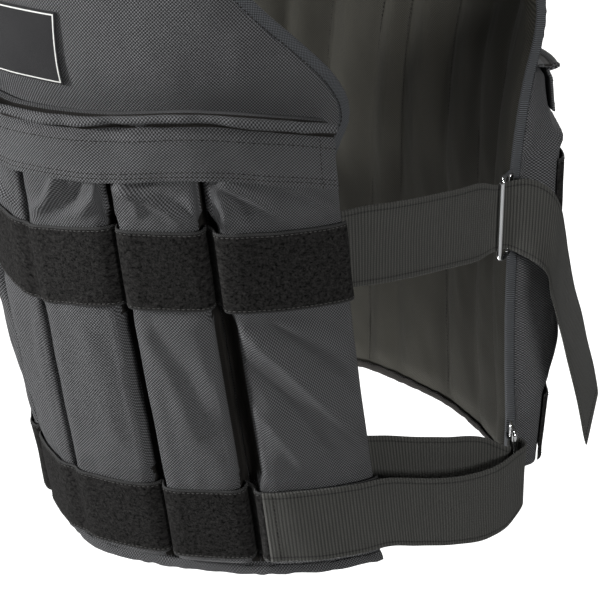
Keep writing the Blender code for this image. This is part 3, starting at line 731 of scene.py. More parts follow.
def ruffle(u, v, seed):
    """Relief from -1 to 1: random heights on a grid of whole numbers, joined by 3t^2 - 2t^3."""
    table = np.random.default_rng(seed).uniform(-1, 1, (64, 64))
    iu, iv = np.floor(u).astype(int), np.floor(v).astype(int)
    tu, tv = (t * t * (3 - 2 * t) for t in (u - iu, v - iv))
    c = [table[(iu + a) % 64, (iv + b) % 64] for a in (0, 1) for b in (0, 1)]
    return (c[0] * (1 - tv) + c[1] * tv) * (1 - tu) + (c[2] * (1 - tv) + c[3] * tv) * tu


def ripples(kind, u, v, salt=0):
    """The named rows of RIPPLES added up: each a ruffle at its own spacings, turned by salt."""
    return sum(high * ruffle(u / wide + shift_u, v / tall + shift_v, seed + salt)
               for high, wide, tall, shift_u, shift_v, seed in RIPPLES[kind])


def normals(grid, facing):
    """Unit normals of a grid: the cross product of its two slopes, turned to face outwards."""
    return facing * unit(np.cross(np.gradient(grid, axis=1), np.gradient(grid, axis=0)))


def put_slots(thing, front_slots):
    """Material slots of an object's front faces; all its others keep the first material."""
    slots = np.zeros(len(thing.data.polygons), np.int32)
    slots[:front_slots.size] = front_slots.ravel()
    thing.data.polygons.foreach_set("material_index", slots)


def slab(name, grid, wall, facing, materials, uv, thin, front_slots=None, puff=0.0):
    """Cloth of a wall round a middle surface: half of it to each side, thinner by thin at the rim.

    puff swells the inner face further in. front_slots gives the front faces' materials;
    without it, the inner face has the second material, if there is one.
    """
    out = normals(grid, facing)
    half = (wall / 2 * thin)[..., None]
    inner = grid - out * (half + np.asarray(puff)[..., None])
    inner_material = 1 if len(materials) > 1 and front_slots is None else 0
    thing = solid(name, grid + out * half, inner, uv, materials, inner_material)
    if front_slots is not None:
        put_slots(thing, front_slots)
    return thing


def thread_row(points, out, wall):
    """A row of stitches on the face of cloth of a wall, from points of its middle surface."""
    return points + out * wall * 0.5, out


def cloth_line(side, along, height, out):
    """A line on the vest, and the way out of the cloth at each of its points."""
    place = wrap(side, along, height, out)
    return place, wrap(side, along, height, out + 0.001) - place


def paints(*names):
    """Materials by name."""
    return [bpy.data.materials[n] for n in names]


# Panels

def seam_place(seam, height):
    """Way round to a seam of the lining at a height: all of them lean in by a straight line."""
    return seam * (SEAM_SPREAD - SEAM_LEAN * height)


def panel_grid(side, shares, rows, climbs):
    """Heights and ways round of a panel: rows to the flap, then closing in to neck and strap."""
    low = row_height(side, shares[None], rows[:, None])
    start = row_height(side, shares[None], np.full((1, 1), FLAP_TOP))
    high = start + climbs[:, None] * (panel_top(side, shares)[None] - start)
    height = np.concatenate([low, high])
    return shares[None] * panel_edge(side, height), height


def make_panel(side):
    """A wadded shell: outer cloth that ripples, and a lining that swells between its seams.

    The lining stands out by depth * (1 - e^-(distance / width)^1.4) from the nearest seam.
    """
    sizes = bpy.context.scene.vest_sizes
    word = WORDS[side]
    rim = PANEL_RIM / EDGES[side]
    shares = rimmed(-1.0, 1.0, 121, rim)
    hem_rows = PANEL_RIM * np.array([0.0, 0.1, 0.35, 0.7])
    rows = np.concatenate([hem_rows, np.linspace(PANEL_RIM, FLAP_TOP, 71)])
    top_rows = 1 - 0.04 * np.array([0.7, 0.35, 0.1, 0])
    climbs = np.concatenate([np.linspace(0, 1, 36)[1:-1], top_rows])
    along, height = panel_grid(side, shares, rows, climbs)
    thin = rounding(shares, -1.0, 1.0, rim)[None] * np.ones_like(height)
    thin[:4] *= np.sqrt(np.array([0.05, 0.3, 0.6, 0.9]))[:, None]
    chest = step(height, FLAP_TOP + 0.006, FLAP_TOP + 0.03) * step(1 - np.abs(shares), 0.0, 0.08)
    out = chest * ripples("chest", along, height, side) - panel_depth(side, height)
    grid = wrap(side, along, height, out)
    away = [np.abs(np.abs(along) - seam_place(seam, height)) for seam in LINING_SEAMS]
    away = np.min(away, axis=0)
    fade = thin * step(rows[0] + height - row_height(side, shares, 0.0)[None], 0.003, 0.022)
    puff = sizes.quilt_depth * (1 - np.exp(-np.abs(away / LINING_SWELL_WIDTH) ** 1.4)) * fade
    puff += ripples("lining", along, height, side) * fade
    puff += ripples("lining creases", along + 0.3 * height, height, side) * fade
    thing = slab(f"{word}_panel_cloth", grid, PANEL_WALL, -side,
                 paints("outer_cloth", "quilted_lining"), uv_grid(along, height),
                 thin, puff=puff)
    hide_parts(f"{word}_panel")


def outline(side, count):
    """The left edge from hem to strap, as ways round and heights, with the way inwards from it."""
    height = np.linspace(row_height(side, 1.0, 0.002), STRAP_START - 0.001, count)
    edge = np.stack([panel_edge(side, height), height], axis=1)
    slope = unit(np.gradient(edge, axis=0))
    return edge, np.stack([-slope[:, 1], slope[:, 0]], axis=1)


def neckline(side, count):
    """The neck's edge from strap to strap, with the way down from it."""
    t = np.sin(np.linspace(-np.pi / 2, np.pi / 2, count))
    share = t * STRAP_EDGES[0][1] * 0.998
    height = panel_top(side, share)
    edge = np.stack([share * panel_edge(side, height), height], axis=1)
    slope = unit(np.gradient(edge, axis=0))
    return edge, np.stack([slope[:, 1], -slope[:, 0]], axis=1)


def binding_tube(name, side, edge, inward, sign):
    """Tape folded over an edge: a flattened oval, 2/0.45 and 2/0.6 in its powers, carried along."""
    sizes = bpy.context.scene.vest_sizes
    turn = np.linspace(0, 2 * np.pi, 18, endpoint=False)
    cos, sin = np.cos(turn), np.sin(turn)
    reach = sizes.binding_width / 2
    before, beyond = BINDING_OVERLAP
    deep = reach - before + (reach + beyond) * np.sign(cos) * np.abs(cos) ** 0.45
    lift = (PANEL_WALL / 2 + BINDING_BULGE) * np.sign(sin) * np.abs(sin) ** 0.6
    place = edge[:, None] + inward[:, None] * deep[None, :, None]
    pucker = BINDING_PUCKER * np.sin(edge[:, 1] * BINDING_PUCKER_RATE)[:, None] * (sin[None] > 0)
    out = lift[None] + pucker - panel_depth(side, place[..., 1])
    rings = mirrored(wrap(side, place[..., 0], place[..., 1], out), sign)
    length = np.cumsum(np.linalg.norm(np.gradient(edge, axis=0), axis=1))
    uv = uv_grid(length[:, None], deep[None] + 0 * length[:, None])
    return tube(name, rings, uv, paints("edge_tape"))


def seam_rows(side, edge, inward, sign, inset):
    """Stitch lines at an inset from an edge, on both faces of its binding."""
    place = edge + inward * inset
    base = -panel_depth(side, place[:, 1])
    rows = []
    for face in (1, -1):
        out = base + face * (PANEL_WALL / 2 + BINDING_STITCH_LIFT)
        path, up = cloth_line(side, place[:, 0], place[:, 1], out)
        rows.append((mirrored(path, sign), mirrored(up, sign) * face))
    return rows


def lining_rows(side):
    """Seams of the quilted lining, straight up the torso and leaning in, on its inner face."""
    rows = []
    for seam in LINING_SEAMS:
        for sign in SIGNS:
            height = np.linspace(SEAM_STARTS[side], SEAM_END, 160)
            along = sign * seam_place(seam, height)
            out = -panel_depth(side, height) - PANEL_WALL / 2
            path, up = cloth_line(side, along, height, out)
            rows.append((path, -up))
    return rows


def make_bindings():
    """The folded tape round each panel's sides, armholes and neck, with its stitches."""
    inset = bpy.context.scene.vest_sizes.binding_width - BINDING_STITCH_INSET
    rows = []
    for side in SIDES:
        for sign in SIGNS:
            edge, inward = outline(side, 150)
            binding_tube(f"{WORDS[side]}_side_binding_{HANDS[sign]}", side, edge, inward, sign)
            rows += seam_rows(side, edge, inward, sign, inset)
        edge, inward = neckline(side, 60)
        binding_tube(f"{WORDS[side]}_neck_binding", side, edge, inward, 1)
        rows += seam_rows(side, edge, inward, 1, inset)
    # Binding and lining stitches are real thread, coloured near black as painted shade of the
    # stitch holes and quilted seams
    stitch_mesh("binding_stitches", rows, "painted_shade_cloth")
    for side in SIDES:
        stitch_mesh(f"{WORDS[side]}_lining_stitches", lining_rows(side), "painted_shade_cloth")


# Pockets

def loose(level):
    """How free a pocket's cloth is: 0 under a tape and at the flap, and 1 from 12 mm away."""
    free = step(level, POCKET_BOTTOM, POCKET_BOTTOM + 0.004)
    for low in (LOWER_TAPE, UPPER_TAPE):
        away = np.maximum(low - level, level - low - TAPE_WIDTH)
        free = free * step(away, 0.0, TAPE_HOLD)
    return free


def dressed_depth(side, height, level, column, across):
    """How far the cloth lies in: the part's own depth under a tape, else the fuller profile."""
    last = column == 2
    filling = padding(side, height)
    free = loose(level)
    neck = free * step(level, UPPER_TAPE, UPPER_TAPE + TAPE_WIDTH)
    weights = (free - neck, 1 - free, neck)
    inner, outer = (sum(w * DRAWN_IN[column][k + 2 * i] for i, w in enumerate(weights))
                    for k in (0, 1))
    drawn = np.clip((across - inner) / (1 - inner - outer), 0.0, 1.0)
    made = face_depth(side, height, column, np.clip(drawn, 0.03, 0.985 if last else 0.96))
    fall = step(drawn, 0.0, 0.03) * step(1 - drawn, 0.0, 0.02 if last else 0.04)
    made = filling * (1 - (1 - made / filling) * fall)
    share = smooth(drawn, DRESSED_PROFILE, 2 if last else 1)
    loosely = filling * (1 - share * smooth(level, MOUTHS, SIDE_COLUMNS[side]))
    return made + (loosely - made) * free ** 0.5


def folds(table, across, level, width):
    """Ridges along segments: height e^-(distance / width)^2, dying away towards both ends."""
    total = np.zeros(np.broadcast(across, level).shape)
    for a0, h0, a1, h1, wide, high in table:
        start, way = np.array([a0 * width, h0]), np.array([(a1 - a0) * width, h1 - h0])
        size = np.hypot(*way)
        x, y = across * width - start[0], level - start[1]
        t = (x * way[0] + y * way[1]) / size ** 2
        d = (x * way[1] - y * way[0]) / size
        taper = step(t, -0.08, 0.18) * step(1 - t, -0.08, 0.25)
        bend = 0.004 * np.sin(np.pi * np.clip(t, 0, 1))
        total += high * np.exp(-((d + bend) / wide) ** 2) * taper
    return total


def gathers(kind, near, along, seed):
    """Puckers that start at a tape's edge and die away as e^-(distance / their length)."""
    start = step(near, *GATHER_START)
    length = 0.009 if kind == "gathers over a tape" else 0.010
    return start * np.exp(-near / length) * ripples(kind, along, near, seed)


def pocket_relief(column, width, across, level, along, seed):
    """Folds, ripples and gathers of a pocket's cloth, before its edges press them flat."""
    free = loose(level)
    middle = step(across, 0.0, 0.12) * step(1 - across, 0.0, 0.10)
    slant = along + 0.35 * level
    relief = folds(POCKET_FOLDS[column], across, level, width)
    relief += ripples("side pocket" if column == 2 else "pocket", slant, level, seed)
    relief += ripples("pocket creases", slant, level, seed)
    relief *= free * step(FLAP_BOTTOM - level, -0.006, 0.010)
    relief *= bpy.context.scene.vest_sizes.fold_depth
    relief += 1.5 * folds(NECK_FOLDS[column], across, level, width) * free * middle
    for top in (LOWER_TAPE + TAPE_WIDTH, UPPER_TAPE + TAPE_WIDTH):
        relief += gathers("gathers over a tape", np.clip(level - top, 0, None), along, seed)
    near = np.clip(UPPER_TAPE - level, 0, None)
    return (relief + gathers("gathers under a tape", near, along, seed)) * middle


def make_pocket(side, column, sign):
    """A filled pocket: the table's profile across, with folds, gathers at the tape and ripples.

    Faces that have sunk below a set share of the full height are painted near black, as painted
    shade in the gap beside the next pocket.
    """
    start, end = column_span(side, column)
    width = end - start
    across = rimmed(0.0, 1.0, 49, POCKET_SIDE_RIM / width)[None]
    level = rimmed(POCKET_BOTTOM, POCKET_TOP, 101, POCKET_RIM)[:, None]
    along = start + across * width
    height = row_height(side, along / EDGES[side], level)
    seed = 100 + 10 * column + (3 if side > 0 else 0) + (1 if sign < 0 else 0)
    face = dressed_depth(side, height, level, column, across)
    base = padding(side, height)
    relief = pocket_relief(column, width, across, level, along, seed)
    end_rim = rounding(level, POCKET_BOTTOM, POCKET_TOP, POCKET_RIM)
    full = (1 - face / base) / smooth(level, MOUTHS, SIDE_COLUMNS[side])
    out = -base + (base - face) * end_rim
    out = out + relief * step(end_rim, 0.3, 1.0) * step(full, 0.4, 0.9)
    outer = mirrored(wrap(side, along, height, out), sign)
    inner = mirrored(wrap(side, along, height, -base), sign)
    node = f"{WORDS[side]}_pocket_{HANDS[sign]}_{PLACES[column]}"
    steps = np.linalg.norm(np.diff(outer, axis=1, prepend=outer[:, :1]), axis=-1)
    reach = np.cumsum(steps.mean(0))
    uv = uv_grid(reach[None] + 0.11 * column + 0.4 * (side > 0), level)
    thing = solid(f"{node}_cloth", outer, inner, uv, paints("outer_cloth", "painted_shade_cloth"))
    # Painted shade: faces sunk deep into a gap get the near-black material; the side pocket's outer
    # half never does.
    full = full + (column == 2) * (across > 0.5)
    corners = full[:-1, :-1] + full[1:, :-1] + full[:-1, 1:] + full[1:, 1:]
    put_slots(thing, corners < PAINTED_SHADE_SHARE * 4)
    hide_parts(node)


# Tapes, flaps, label and hem

def tape_face(side, along, level):
    """How far the pocket faces lie in under a tape, which bridges each join between two places."""
    places = (0.03, 0.08, 0.18, 0.3, 0.42, 0.55, 0.65, 0.75, 0.82, 0.88, 0.96)
    ways, depths = [], []
    for column in range(3):
        start, end = column_span(side, column)
        for share in places + ((1.0,) if column == 2 else ()):
            way = start + share * (end - start)
            ways.append(way)
            height = row_height(side, way / EDGES[side], level[:, 0])
            depths.append(face_depth(side, height, column, share))
    ways, depths = np.array(ways), np.stack(depths, axis=1)
    at = np.clip(np.abs(along[0]), ways[0], ways[-1])
    k = np.clip(np.searchsorted(ways, at) - 1, 0, len(ways) - 2)
    t = (at - ways[k]) / (ways[k + 1] - ways[k])
    return depths[:, k] * (1 - t) + depths[:, k + 1] * t


def make_tape(side, bottom, word):
    """Loop tape over the pocket faces, with a smooth selvedge and dashes of thread at both edges.

    It sinks into a groove at each join of two pockets, and stands higher over the side pocket.
    """
    name = f"{WORDS[side]}_{word}_loop_tape"
    edge = EDGES[side]
    along = rimmed(-edge, edge, 281, 0.002)[None]
    level = bottom + rimmed(0.0, TAPE_WIDTH, 17, 0.003)[:, None]
    height = row_height(side, along / edge, level)
    from_middle = np.abs(level - bottom - TAPE_WIDTH / 2)
    wave = ripples("tape", along, level, side)
    wave += ripples("tape edges", along, level, side) * step(from_middle, 0.017, 0.025)
    for join, (wide, deep, shift) in zip(COLUMNS[side][1:3], GROOVES):
        away = np.abs(np.abs(along) - join * edge - shift)
        wave = wave - deep * step(wide / 2 - away, -0.0004, 0.0018)
    wave = wave + 0.0016 * step(np.abs(along) - COLUMNS[side][2] * edge, -0.001, 0.003)
    lift = TAPE_CLEARANCE + TAPE_WALL / 2 - tape_face(side, along, level) + wave
    grid = wrap(side, along, height, lift)
    thin = rounding(along, -edge, edge, EDGE_RIM)
    thin = thin * rounding(level, bottom, bottom + TAPE_WIDTH, TAPE_RIM)
    centre = (level[:-1, 0] + level[1:, 0]) / 2 - bottom
    lip = np.minimum(centre, TAPE_WIDTH - centre) < SELVEDGE_WIDTH
    slots = np.repeat(lip[:, None], along.size - 1, axis=1)
    thing = slab(f"{name}_cloth", grid, TAPE_WALL, -side, paints("loop_pile", "selvedge"),
                 uv_grid(along, level), thin, slots)
    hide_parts(name)
    out = normals(grid, -side)
    rows = []
    for inset in (TAPE_STITCH_INSET, TAPE_WIDTH - TAPE_STITCH_INSET):
        i = np.argmin(np.abs(level[:, 0] - bottom - inset))
        rows.append(thread_row(grid[i], out[i], TAPE_WALL))
    stitches = stitch_mesh(f"{name}_stitches", rows)


def make_flap(side):
    """The flap over the pocket mouths: a curve of heights and standoffs, carried round the vest.

    Where it tucks under its ridge, and in patches where it creases below it, its faces are painted
    near black as shade.
    """
    name = f"{WORDS[side]}_flap"
    edge = EDGES[side] * FLAP_SHARE
    along = rimmed(-edge, edge, 181, 0.003)[None]
    way = np.concatenate([np.linspace(0, 0.97, 44), [0.985, 0.993, 0.998, 1.0]])[:, None]
    tall = FLAP_TOP - FLAP_BOTTOM
    share = 1.0 if side < 0 else BACK_FLAP_SHARE
    level = FLAP_BOTTOM + tall * smooth(way, FLAP_ROWS, 1) * share
    ridge = step(way, 0.15, 0.35) * step(1 - way, 0.45, 0.7)
    level = level + ripples("flap ridge", along, way, side) * ridge
    height = row_height(side, along / EDGES[side], level)
    outward, lift = smooth(way, FLAP_ROWS, 2), smooth(way, FLAP_ROWS, 3) * FLAP_STANDOFF
    outward = outward * smooth(level, MOUTHS, SIDE_COLUMNS[side])
    deep = (padding(side, height) + PANEL_CLEARANCE / 2) * (1 - outward)
    pucker = ripples("flap gathers", along, way, side)
    pucker = pucker * step(way, 0.15, 0.3) * step(1 - way, 0.45, 0.6)
    pucker += ripples("flap skirt", along + 0.4 * level, way, side) * step(way, 0.36, 0.5)
    pucker += ripples("flap edge", along, way, side) * step(way, 0.75, 1.0)
    grid = wrap(side, along, height, lift - deep + FLAP_WALL / 2 + pucker)
    thin = rounding(along, -edge, edge, EDGE_RIM) * step(1.0005 - way, 0.0, 0.012) ** 0.5
    thin = np.maximum(thin, 0.05)
    # Painted shade: a band tucked under the ridge's top, and patches in the crease band below it,
    # get the near-black material
    crease_shade = ripples("flap crease shade", along, way, side) > -0.6
    shaded_faces = ((way > 0.10) & (way < 0.17)) | ((way > 0.335) & (way < 0.45) & crease_shade)
    thing = slab(f"{name}_cloth", grid, FLAP_WALL, side, paints("outer_cloth", "painted_shade_cloth"),
                 uv_grid(along, way * (tall + FLAP_TURN_IN)), thin, shaded_faces[:-1, :-1])
    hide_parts(name)
    out = normals(grid, side)
    lower, upper, seam = (np.argmin(np.abs(way[:, 0] - at)) for at in (0.905, 0.955, 0.560))
    cuts = [lower, upper, (slice(16, None), 8), (slice(16, None), -9), seam]
    rows = [thread_row(grid[cut], out[cut], FLAP_WALL) for cut in cuts]
    # Real thread, coloured near black as painted shade of the stitch holes
    stitches = stitch_mesh(f"{name}_stitches", rows, "painted_shade_cloth")


def make_label():
    """A bare woven patch with a thin pale border, laid on the chest."""
    half = LABEL_WIDTH / 2
    top = LABEL_BOTTOM + LABEL_HEIGHT
    along = rimmed(-half, half, 81, 0.0030)[None]
    height = LABEL_BOTTOM + rimmed(0.0, LABEL_HEIGHT, 41, 0.0030)[:, None]
    out = LABEL_LIFT - padding(-1, height) + ripples("label", along, height)
    grid = wrap(-1, along, height, out)
    thin = rounding(along, -half, half, LABEL_RIM) * rounding(height, LABEL_BOTTOM, top, LABEL_RIM)
    x = (along[0, 1:] + along[0, :-1]) / 2
    y = (height[1:, 0] + height[:-1, 0]) / 2 - LABEL_BOTTOM
    away = np.minimum((half - np.abs(x))[None], np.minimum(y, LABEL_HEIGHT - y)[:, None])
    border = (away > BORDER_INSET[0]) & (away < BORDER_INSET[1])
    thing = slab("label_patch_cloth", grid, LABEL_WALL, 1, paints("patch_satin", "patch_border"),
                 uv_grid(along, height), thin, border)
    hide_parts("label_patch")


def make_hem(side):
    """The tape folded round the hem: a U of the table's rows, carried from side to side.

    Past the fold it is painted near black, as shade under the hem's edge, and its edge wavers by
    two ripples.
    """
    name = f"{WORDS[side]}_hem_tape"
    edge = EDGES[side]
    along = rimmed(-edge, edge, 141, 0.002)[None]
    way = np.linspace(0, 1, 23)[:, None]
    height = row_height(side, along / edge, 0.0 * way)
    height = height + HEM_TAPE_HEIGHT * smooth(way, HEM_ROWS, 1) + ripples("hem", along, way)
    folded = HEM_FOLD * smooth(way, HEM_ROWS, 2)
    out = HEM_STANDOFF - padding(side, np.maximum(height, 0.0)) - folded
    grid = wrap(side, along, height, out)
    thin = rounding(along, -edge, edge, 0.001) * rounding(way, -0.01, 1.01, 0.04)
    # Painted shade: the fold and the inner face past it get the near-black material
    turned = np.repeat(way[:-1] > 0.38, along.size - 1, axis=1)
    thing = slab(f"{name}_cloth", grid, HEM_WALL, side, paints("outer_cloth", "painted_shade_cloth"),
                 uv_grid(along, way * HEM_CLOTH_LENGTH), thin, turned)
    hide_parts(name)


# Shoulder straps

def shoulder_grid(share, along):
    """Points over the shoulder, from the front panel's top to the back panel's.

    climb is 0 at both ends and 1 at the top, and sideways a point moves over from its
    own side's oval to the other side's by climb^2 (1.5 - climb).
    """
    climb = 1 - np.abs(2 * share - 1)
    points = []
    for side in SIDES:
        base, other = (wrap(s, along, ARCH_START, 0.0) for s in (side, -side))
        top = LENGTH + STRAP_WALL - SHOULDER_FALL * shoulder_share(along)
        length = arch_length(np.abs(base[..., 1]), top - ARCH_START)
        height = STRAP_START + climb * (ARCH_START + length - STRAP_START)
        place = wrap(side, along, height, -STRAP_WALL / 2)
        place[..., 0] += (other - base)[..., 0] * climb ** 2 * (1.5 - climb)
        points.append(place)
    return np.where((share <= 0.5)[..., None], points[0], points[1])


def make_shoulder(sign):
    """A padded strap: full in its middle, thinner by a quarter circle at both edges."""
    name = f"shoulder_strap_{HANDS[sign]}"
    share = np.linspace(0, 1, 121)[:, None]
    part = rimmed(0.0, 1.0, 31, 0.06)[None]
    inner, outer = strap_edge(share, 1), strap_edge(share, 2)
    along = inner + part * (outer - inner)
    share = share + 0 * part
    grid = mirrored(shoulder_grid(share, along), sign)
    pad = 0.55 + 0.45 * rounding(part, 0.0, 1.0, 0.30)
    ends = 0.55 + 0.45 * rounding(share, 0.0, 1.0, 0.10)
    thin = rounding(part, 0.0, 1.0, 0.06) * pad * ends
    thin *= 1 + ripples("shoulder", part, share)
    thing = slab(f"{name}_cloth", grid, STRAP_WALL, sign, paints("outer_cloth", "quilted_lining"),
                 uv_grid(along, share * SHOULDER_CLOTH_LENGTH), thin)
    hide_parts(name)
    out = normals(grid, sign)
    rows = [thread_row(grid[:, k], out[:, k], (STRAP_WALL * thin[:, k])[:, None]) for k in (7, -8)]
    # Real thread, coloured near black as painted shade of the stitch holes
    stitch_mesh(f"{name}_stitches", rows, "painted_shade_cloth")


# Webbing, rings and tabs

def threaded(path, steps):
    """Points along a smooth curve through the path's points, with steps from each to the next."""
    points = np.array(path, float)
    lengths = np.linalg.norm(np.diff(points[:, :3], axis=0), axis=1)
    knots = np.concatenate([[0.0], np.cumsum(lengths)])
    fine = np.interp(np.arange((len(knots) - 1) * steps + 1) / steps, np.arange(len(knots)), knots)
    table = np.column_stack([knots, points])
    return np.stack([smooth(fine, table, k + 1) for k in range(points.shape[1])], 1)


def edge_frame(side, height):
    """Middle of a panel's side edge at a height, and the way straight on round the torso."""
    depth = -panel_depth(side, height)
    joins = COLUMNS[side]
    before = joins[2] + POCKET_PROFILE[5][0] * (1 - joins[2])
    here, back = (wrap(side, share * EDGES[side], height, depth) for share in (1.0, before))
    return here, unit(here - back)


def ring_place(level):
    """The back panel's edge at a ring, the way that the ring points, and the way out."""
    edge, onward = edge_frame(1, RING_HEIGHTS[level])
    pull = unit(edge_frame(-1, edge[2] + LENGTH)[0] - edge)
    forward = unit((onward + RING_PULLS[level] * pull) * (1, 1, 0))
    return edge, forward, np.cross(UP, forward)


def front_root(height):
    """Middle and width of a side strap where it is sewn to the front panel's edge."""
    middle, onward = edge_frame(-1, height)
    upper, lower = (edge_frame(-1, height + d * WEBBING_WIDTH / 2)[0] for d in (1, -1))
    return middle + onward * ROOT_START, WEBBING_WIDTH * unit(upper - lower)


def front_bar(level):
    """Middle of a ring's front bar, the way that the ring points, and the way out."""
    edge, forward, out = ring_place(level)
    return edge + forward * (TAB_REACH + RING_INNER_LENGTH + RING_WIRE), forward, out


def upper_path():
    """From the front edge inside the ring's front bar, out through the ring, and down free."""
    root, root_width = front_root(UPPER_TAPE + TAPE_WIDTH / 2)
    bar, forward, out = front_bar("upper")
    inside = bar - out * (RING_WIRE / 2 + WEBBING_WALL)
    through = bar - forward * (RING_INNER_LENGTH + RING_WIRE) / 2 + out * 0.001
    upright = WEBBING_WIDTH * UP
    leaning = WEBBING_WIDTH * unit(np.array(TAIL_LEAN))
    run = inside - root
    path = [(root, root_width)]
    for share, bulge in UPPER_RUN:
        path.append((root + share * run + out * bulge, upright))
    path += [(inside, WEBBING_GATHER * upright), (through, WEBBING_GATHER * upright)]
    for back, away, down, turned in TAIL:
        move = -forward * back + out * away - down * UP
        width = WEBBING_WIDTH * unit(upright * (1 - turned) + leaning * turned)
        path.append((through + move * TAIL_LENGTH, width))
    return path


def laid_strap(share, height):
    """Middle and width of webbing that lies over the lower tape, at a share of the front edge."""
    lift = TAPE_CLEARANCE + TAPE_WALL + LAID_STANDOFF + WEBBING_WALL / 2 + POCKET_FILL * 0.03
    ends = [wrap(-1, share * FRONT_EDGE, height + d * WEBBING_WIDTH / 2, lift) for d in (1, -1)]
    return (ends[0] + ends[1]) / 2, WEBBING_WIDTH * unit(ends[0] - ends[1])


def lower_path():
    """From the front edge through the ring, folded round its bar and back over the pocket."""
    middle = LOWER_TAPE + TAPE_WIDTH / 2
    root, root_width = front_root(middle + LOWER_ROOT_RISE)
    bar, forward, out = front_bar("lower")
    bar = bar - LOWER_STRAP_DROP * UP
    reach = RING_WIRE / 2 + WEBBING_WALL
    upright = WEBBING_WIDTH * UP
    inside = bar - out * reach
    path = [(root, root_width)]
    for share, bulge in LOWER_RUN:
        width = WEBBING_WIDTH * unit(root_width * (1 - share) + upright * share)
        path.append((root + share * (inside - root) + out * bulge, width))
    for ahead, away in FOLD:
        place = bar + forward * ahead * reach + out * away * reach
        path.append((place, WEBBING_GATHER * upright))
    start = path[-1][0]
    landing, landing_width = laid_strap(1.0, middle)
    for share, bulge, sag in OUTER_LAYER:
        width = WEBBING_WIDTH * unit(upright * (1 - share) + landing_width * share)
        place = start + share * (landing - start) + out * bulge
        path.append((place - sag * UP, width))
    return path + [laid_strap(share, middle) for share in (*LAID_SHARES, LOWER_STRAP_END)]


def make_strap(level, sign):
    """Webbing along a smooth curve: a straight line across, with thin rounded edges."""
    name = f"{level}_side_strap_{HANDS[sign]}"
    path = upper_path() if level == "upper" else lower_path()
    rows = threaded([np.concatenate(pair) for pair in path], 9)
    middle, width = rows[:, :3], rows[:, 3:]
    part = rimmed(-0.5, 0.5, 19, 0.03)
    grid = mirrored(middle[None] + part[:, None, None] * width[None], sign)
    steps = np.linalg.norm(np.diff(middle, axis=0), axis=1)
    length = np.concatenate([[0.0], np.cumsum(steps)])
    wave = ripples("webbing", length[None], part[:, None])
    wave = wave * step(length, 0.0, 0.02) * step(length[-1] - length, 0.0, 0.02)
    grid = grid + normals(grid, sign) * wave[..., None]
    thin = rounding(part, -0.5, 0.5, 0.03)[:, None]
    thin = thin * rounding(length, -0.0002, length[-1] + 0.0002, 0.0009)[None]
    thing = slab(f"{name}_webbing", grid, WEBBING_WALL, sign, paints("ribbed_webbing"),
                 uv_grid(length[None], part[:, None] * WEBBING_WIDTH), thin)
    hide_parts(name)
    out = normals(grid, sign)
    rows = []
    for end in (STITCH_INSET, length[-1] - STITCH_INSET):
        k = np.argmin(np.abs(length - end))
        rows += [thread_row(grid[3:-3, k], face * out[3:-3, k], WEBBING_WALL) for face in SIGNS]
    # Real thread, coloured near black as painted shade of the stitch holes
    stitches = stitch_mesh(f"{name}_stitches", rows, "painted_shade_cloth")


def make_ring(level, sign):
    """Round wire carried round a rectangle whose corners are quarter circles."""
    name = f"{level}_ring_{HANDS[sign]}"
    edge, forward, out = ring_place(level)
    half = np.array([RING_INNER_LENGTH + RING_WIRE, RING_INNER_HEIGHT + RING_WIRE]) / 2
    turn = np.linspace(0, np.pi / 2, 9)[None] + np.arange(4)[:, None] * np.pi / 2
    corner = np.array([(1, 1), (-1, 1), (-1, -1), (1, -1)]) * (half - RING_CORNER)
    ray = np.stack([np.cos(turn), np.sin(turn)], axis=-1)
    flat = (corner[:, None] + RING_CORNER * ray).reshape(-1, 2)
    way = ray.reshape(-1, 2)
    centre = edge + forward * (TAB_REACH + half[0])
    path = centre + flat[:, :1] * forward + flat[:, 1:] * UP
    away = way[:, :1] * forward + way[:, 1:] * UP
    wire = np.linspace(0, 2 * np.pi, 20, endpoint=False)
    cos, sin = np.cos(wire)[None, :, None], np.sin(wire)[None, :, None]
    rings = path[:, None] + RING_WIRE / 2 * (cos * away[:, None] + sin * out)
    uv = uv_grid(np.arange(len(path))[:, None] * 0.003, wire[None] * 0.002)
    thing = tube(f"{name}_wire", mirrored(rings, sign), uv, paints("plated_wire"),
                 closed=True)
    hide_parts(name)


def make_tab(level, sign):
    """A loop of tape round the ring's rear bar: two straight runs joined by an arc."""
    name = f"{level}_ring_tab_{HANDS[sign]}"
    edge, forward, out = ring_place(level)
    radius = RING_WIRE / 2 + 0.0004 + TAB_WALL / 2
    turn = np.linspace(-np.pi / 2, np.pi / 2, 13)
    run = np.linspace(TAB_START - 0.004, TAB_REACH, 7)[:-1]
    ahead = np.concatenate([run, TAB_REACH + radius * np.cos(turn), run[::-1]])
    away = np.concatenate([-radius + 0 * run, radius * np.sin(turn), radius + 0 * run])
    half = TAB_WIDTH / 2
    above = rimmed(-half, half, 15, 0.0012)[:, None]
    grid = edge + ahead[None, :, None] * forward + away[None, :, None] * out
    grid = mirrored(grid + above[..., None] * UP, sign)
    thin = rounding(above, -half, half, 0.0012) * np.ones((1, len(ahead)))
    uv = uv_grid(np.arange(len(ahead))[None] * 0.0012, above)
    thing = slab(f"{name}_tape", grid, TAB_WALL, sign, paints("edge_tape"), uv, thin)
    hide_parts(name)


# Finishes

def node_group(name, inputs, outputs):
    """A shader node group with its sockets, and the group's own input and output nodes."""
    tree = bpy.data.node_groups.new(name, "ShaderNodeTree")
    for label, kind, value in inputs:
        socket = tree.interface.new_socket(label, in_out="INPUT", socket_type=kind)
        if value is not None:
            socket.default_value = value
    for label, kind in outputs:
        tree.interface.new_socket(label, in_out="OUTPUT", socket_type=kind)
    return tree, tree.nodes.new("NodeGroupInput"), tree.nodes.new("NodeGroupOutput")


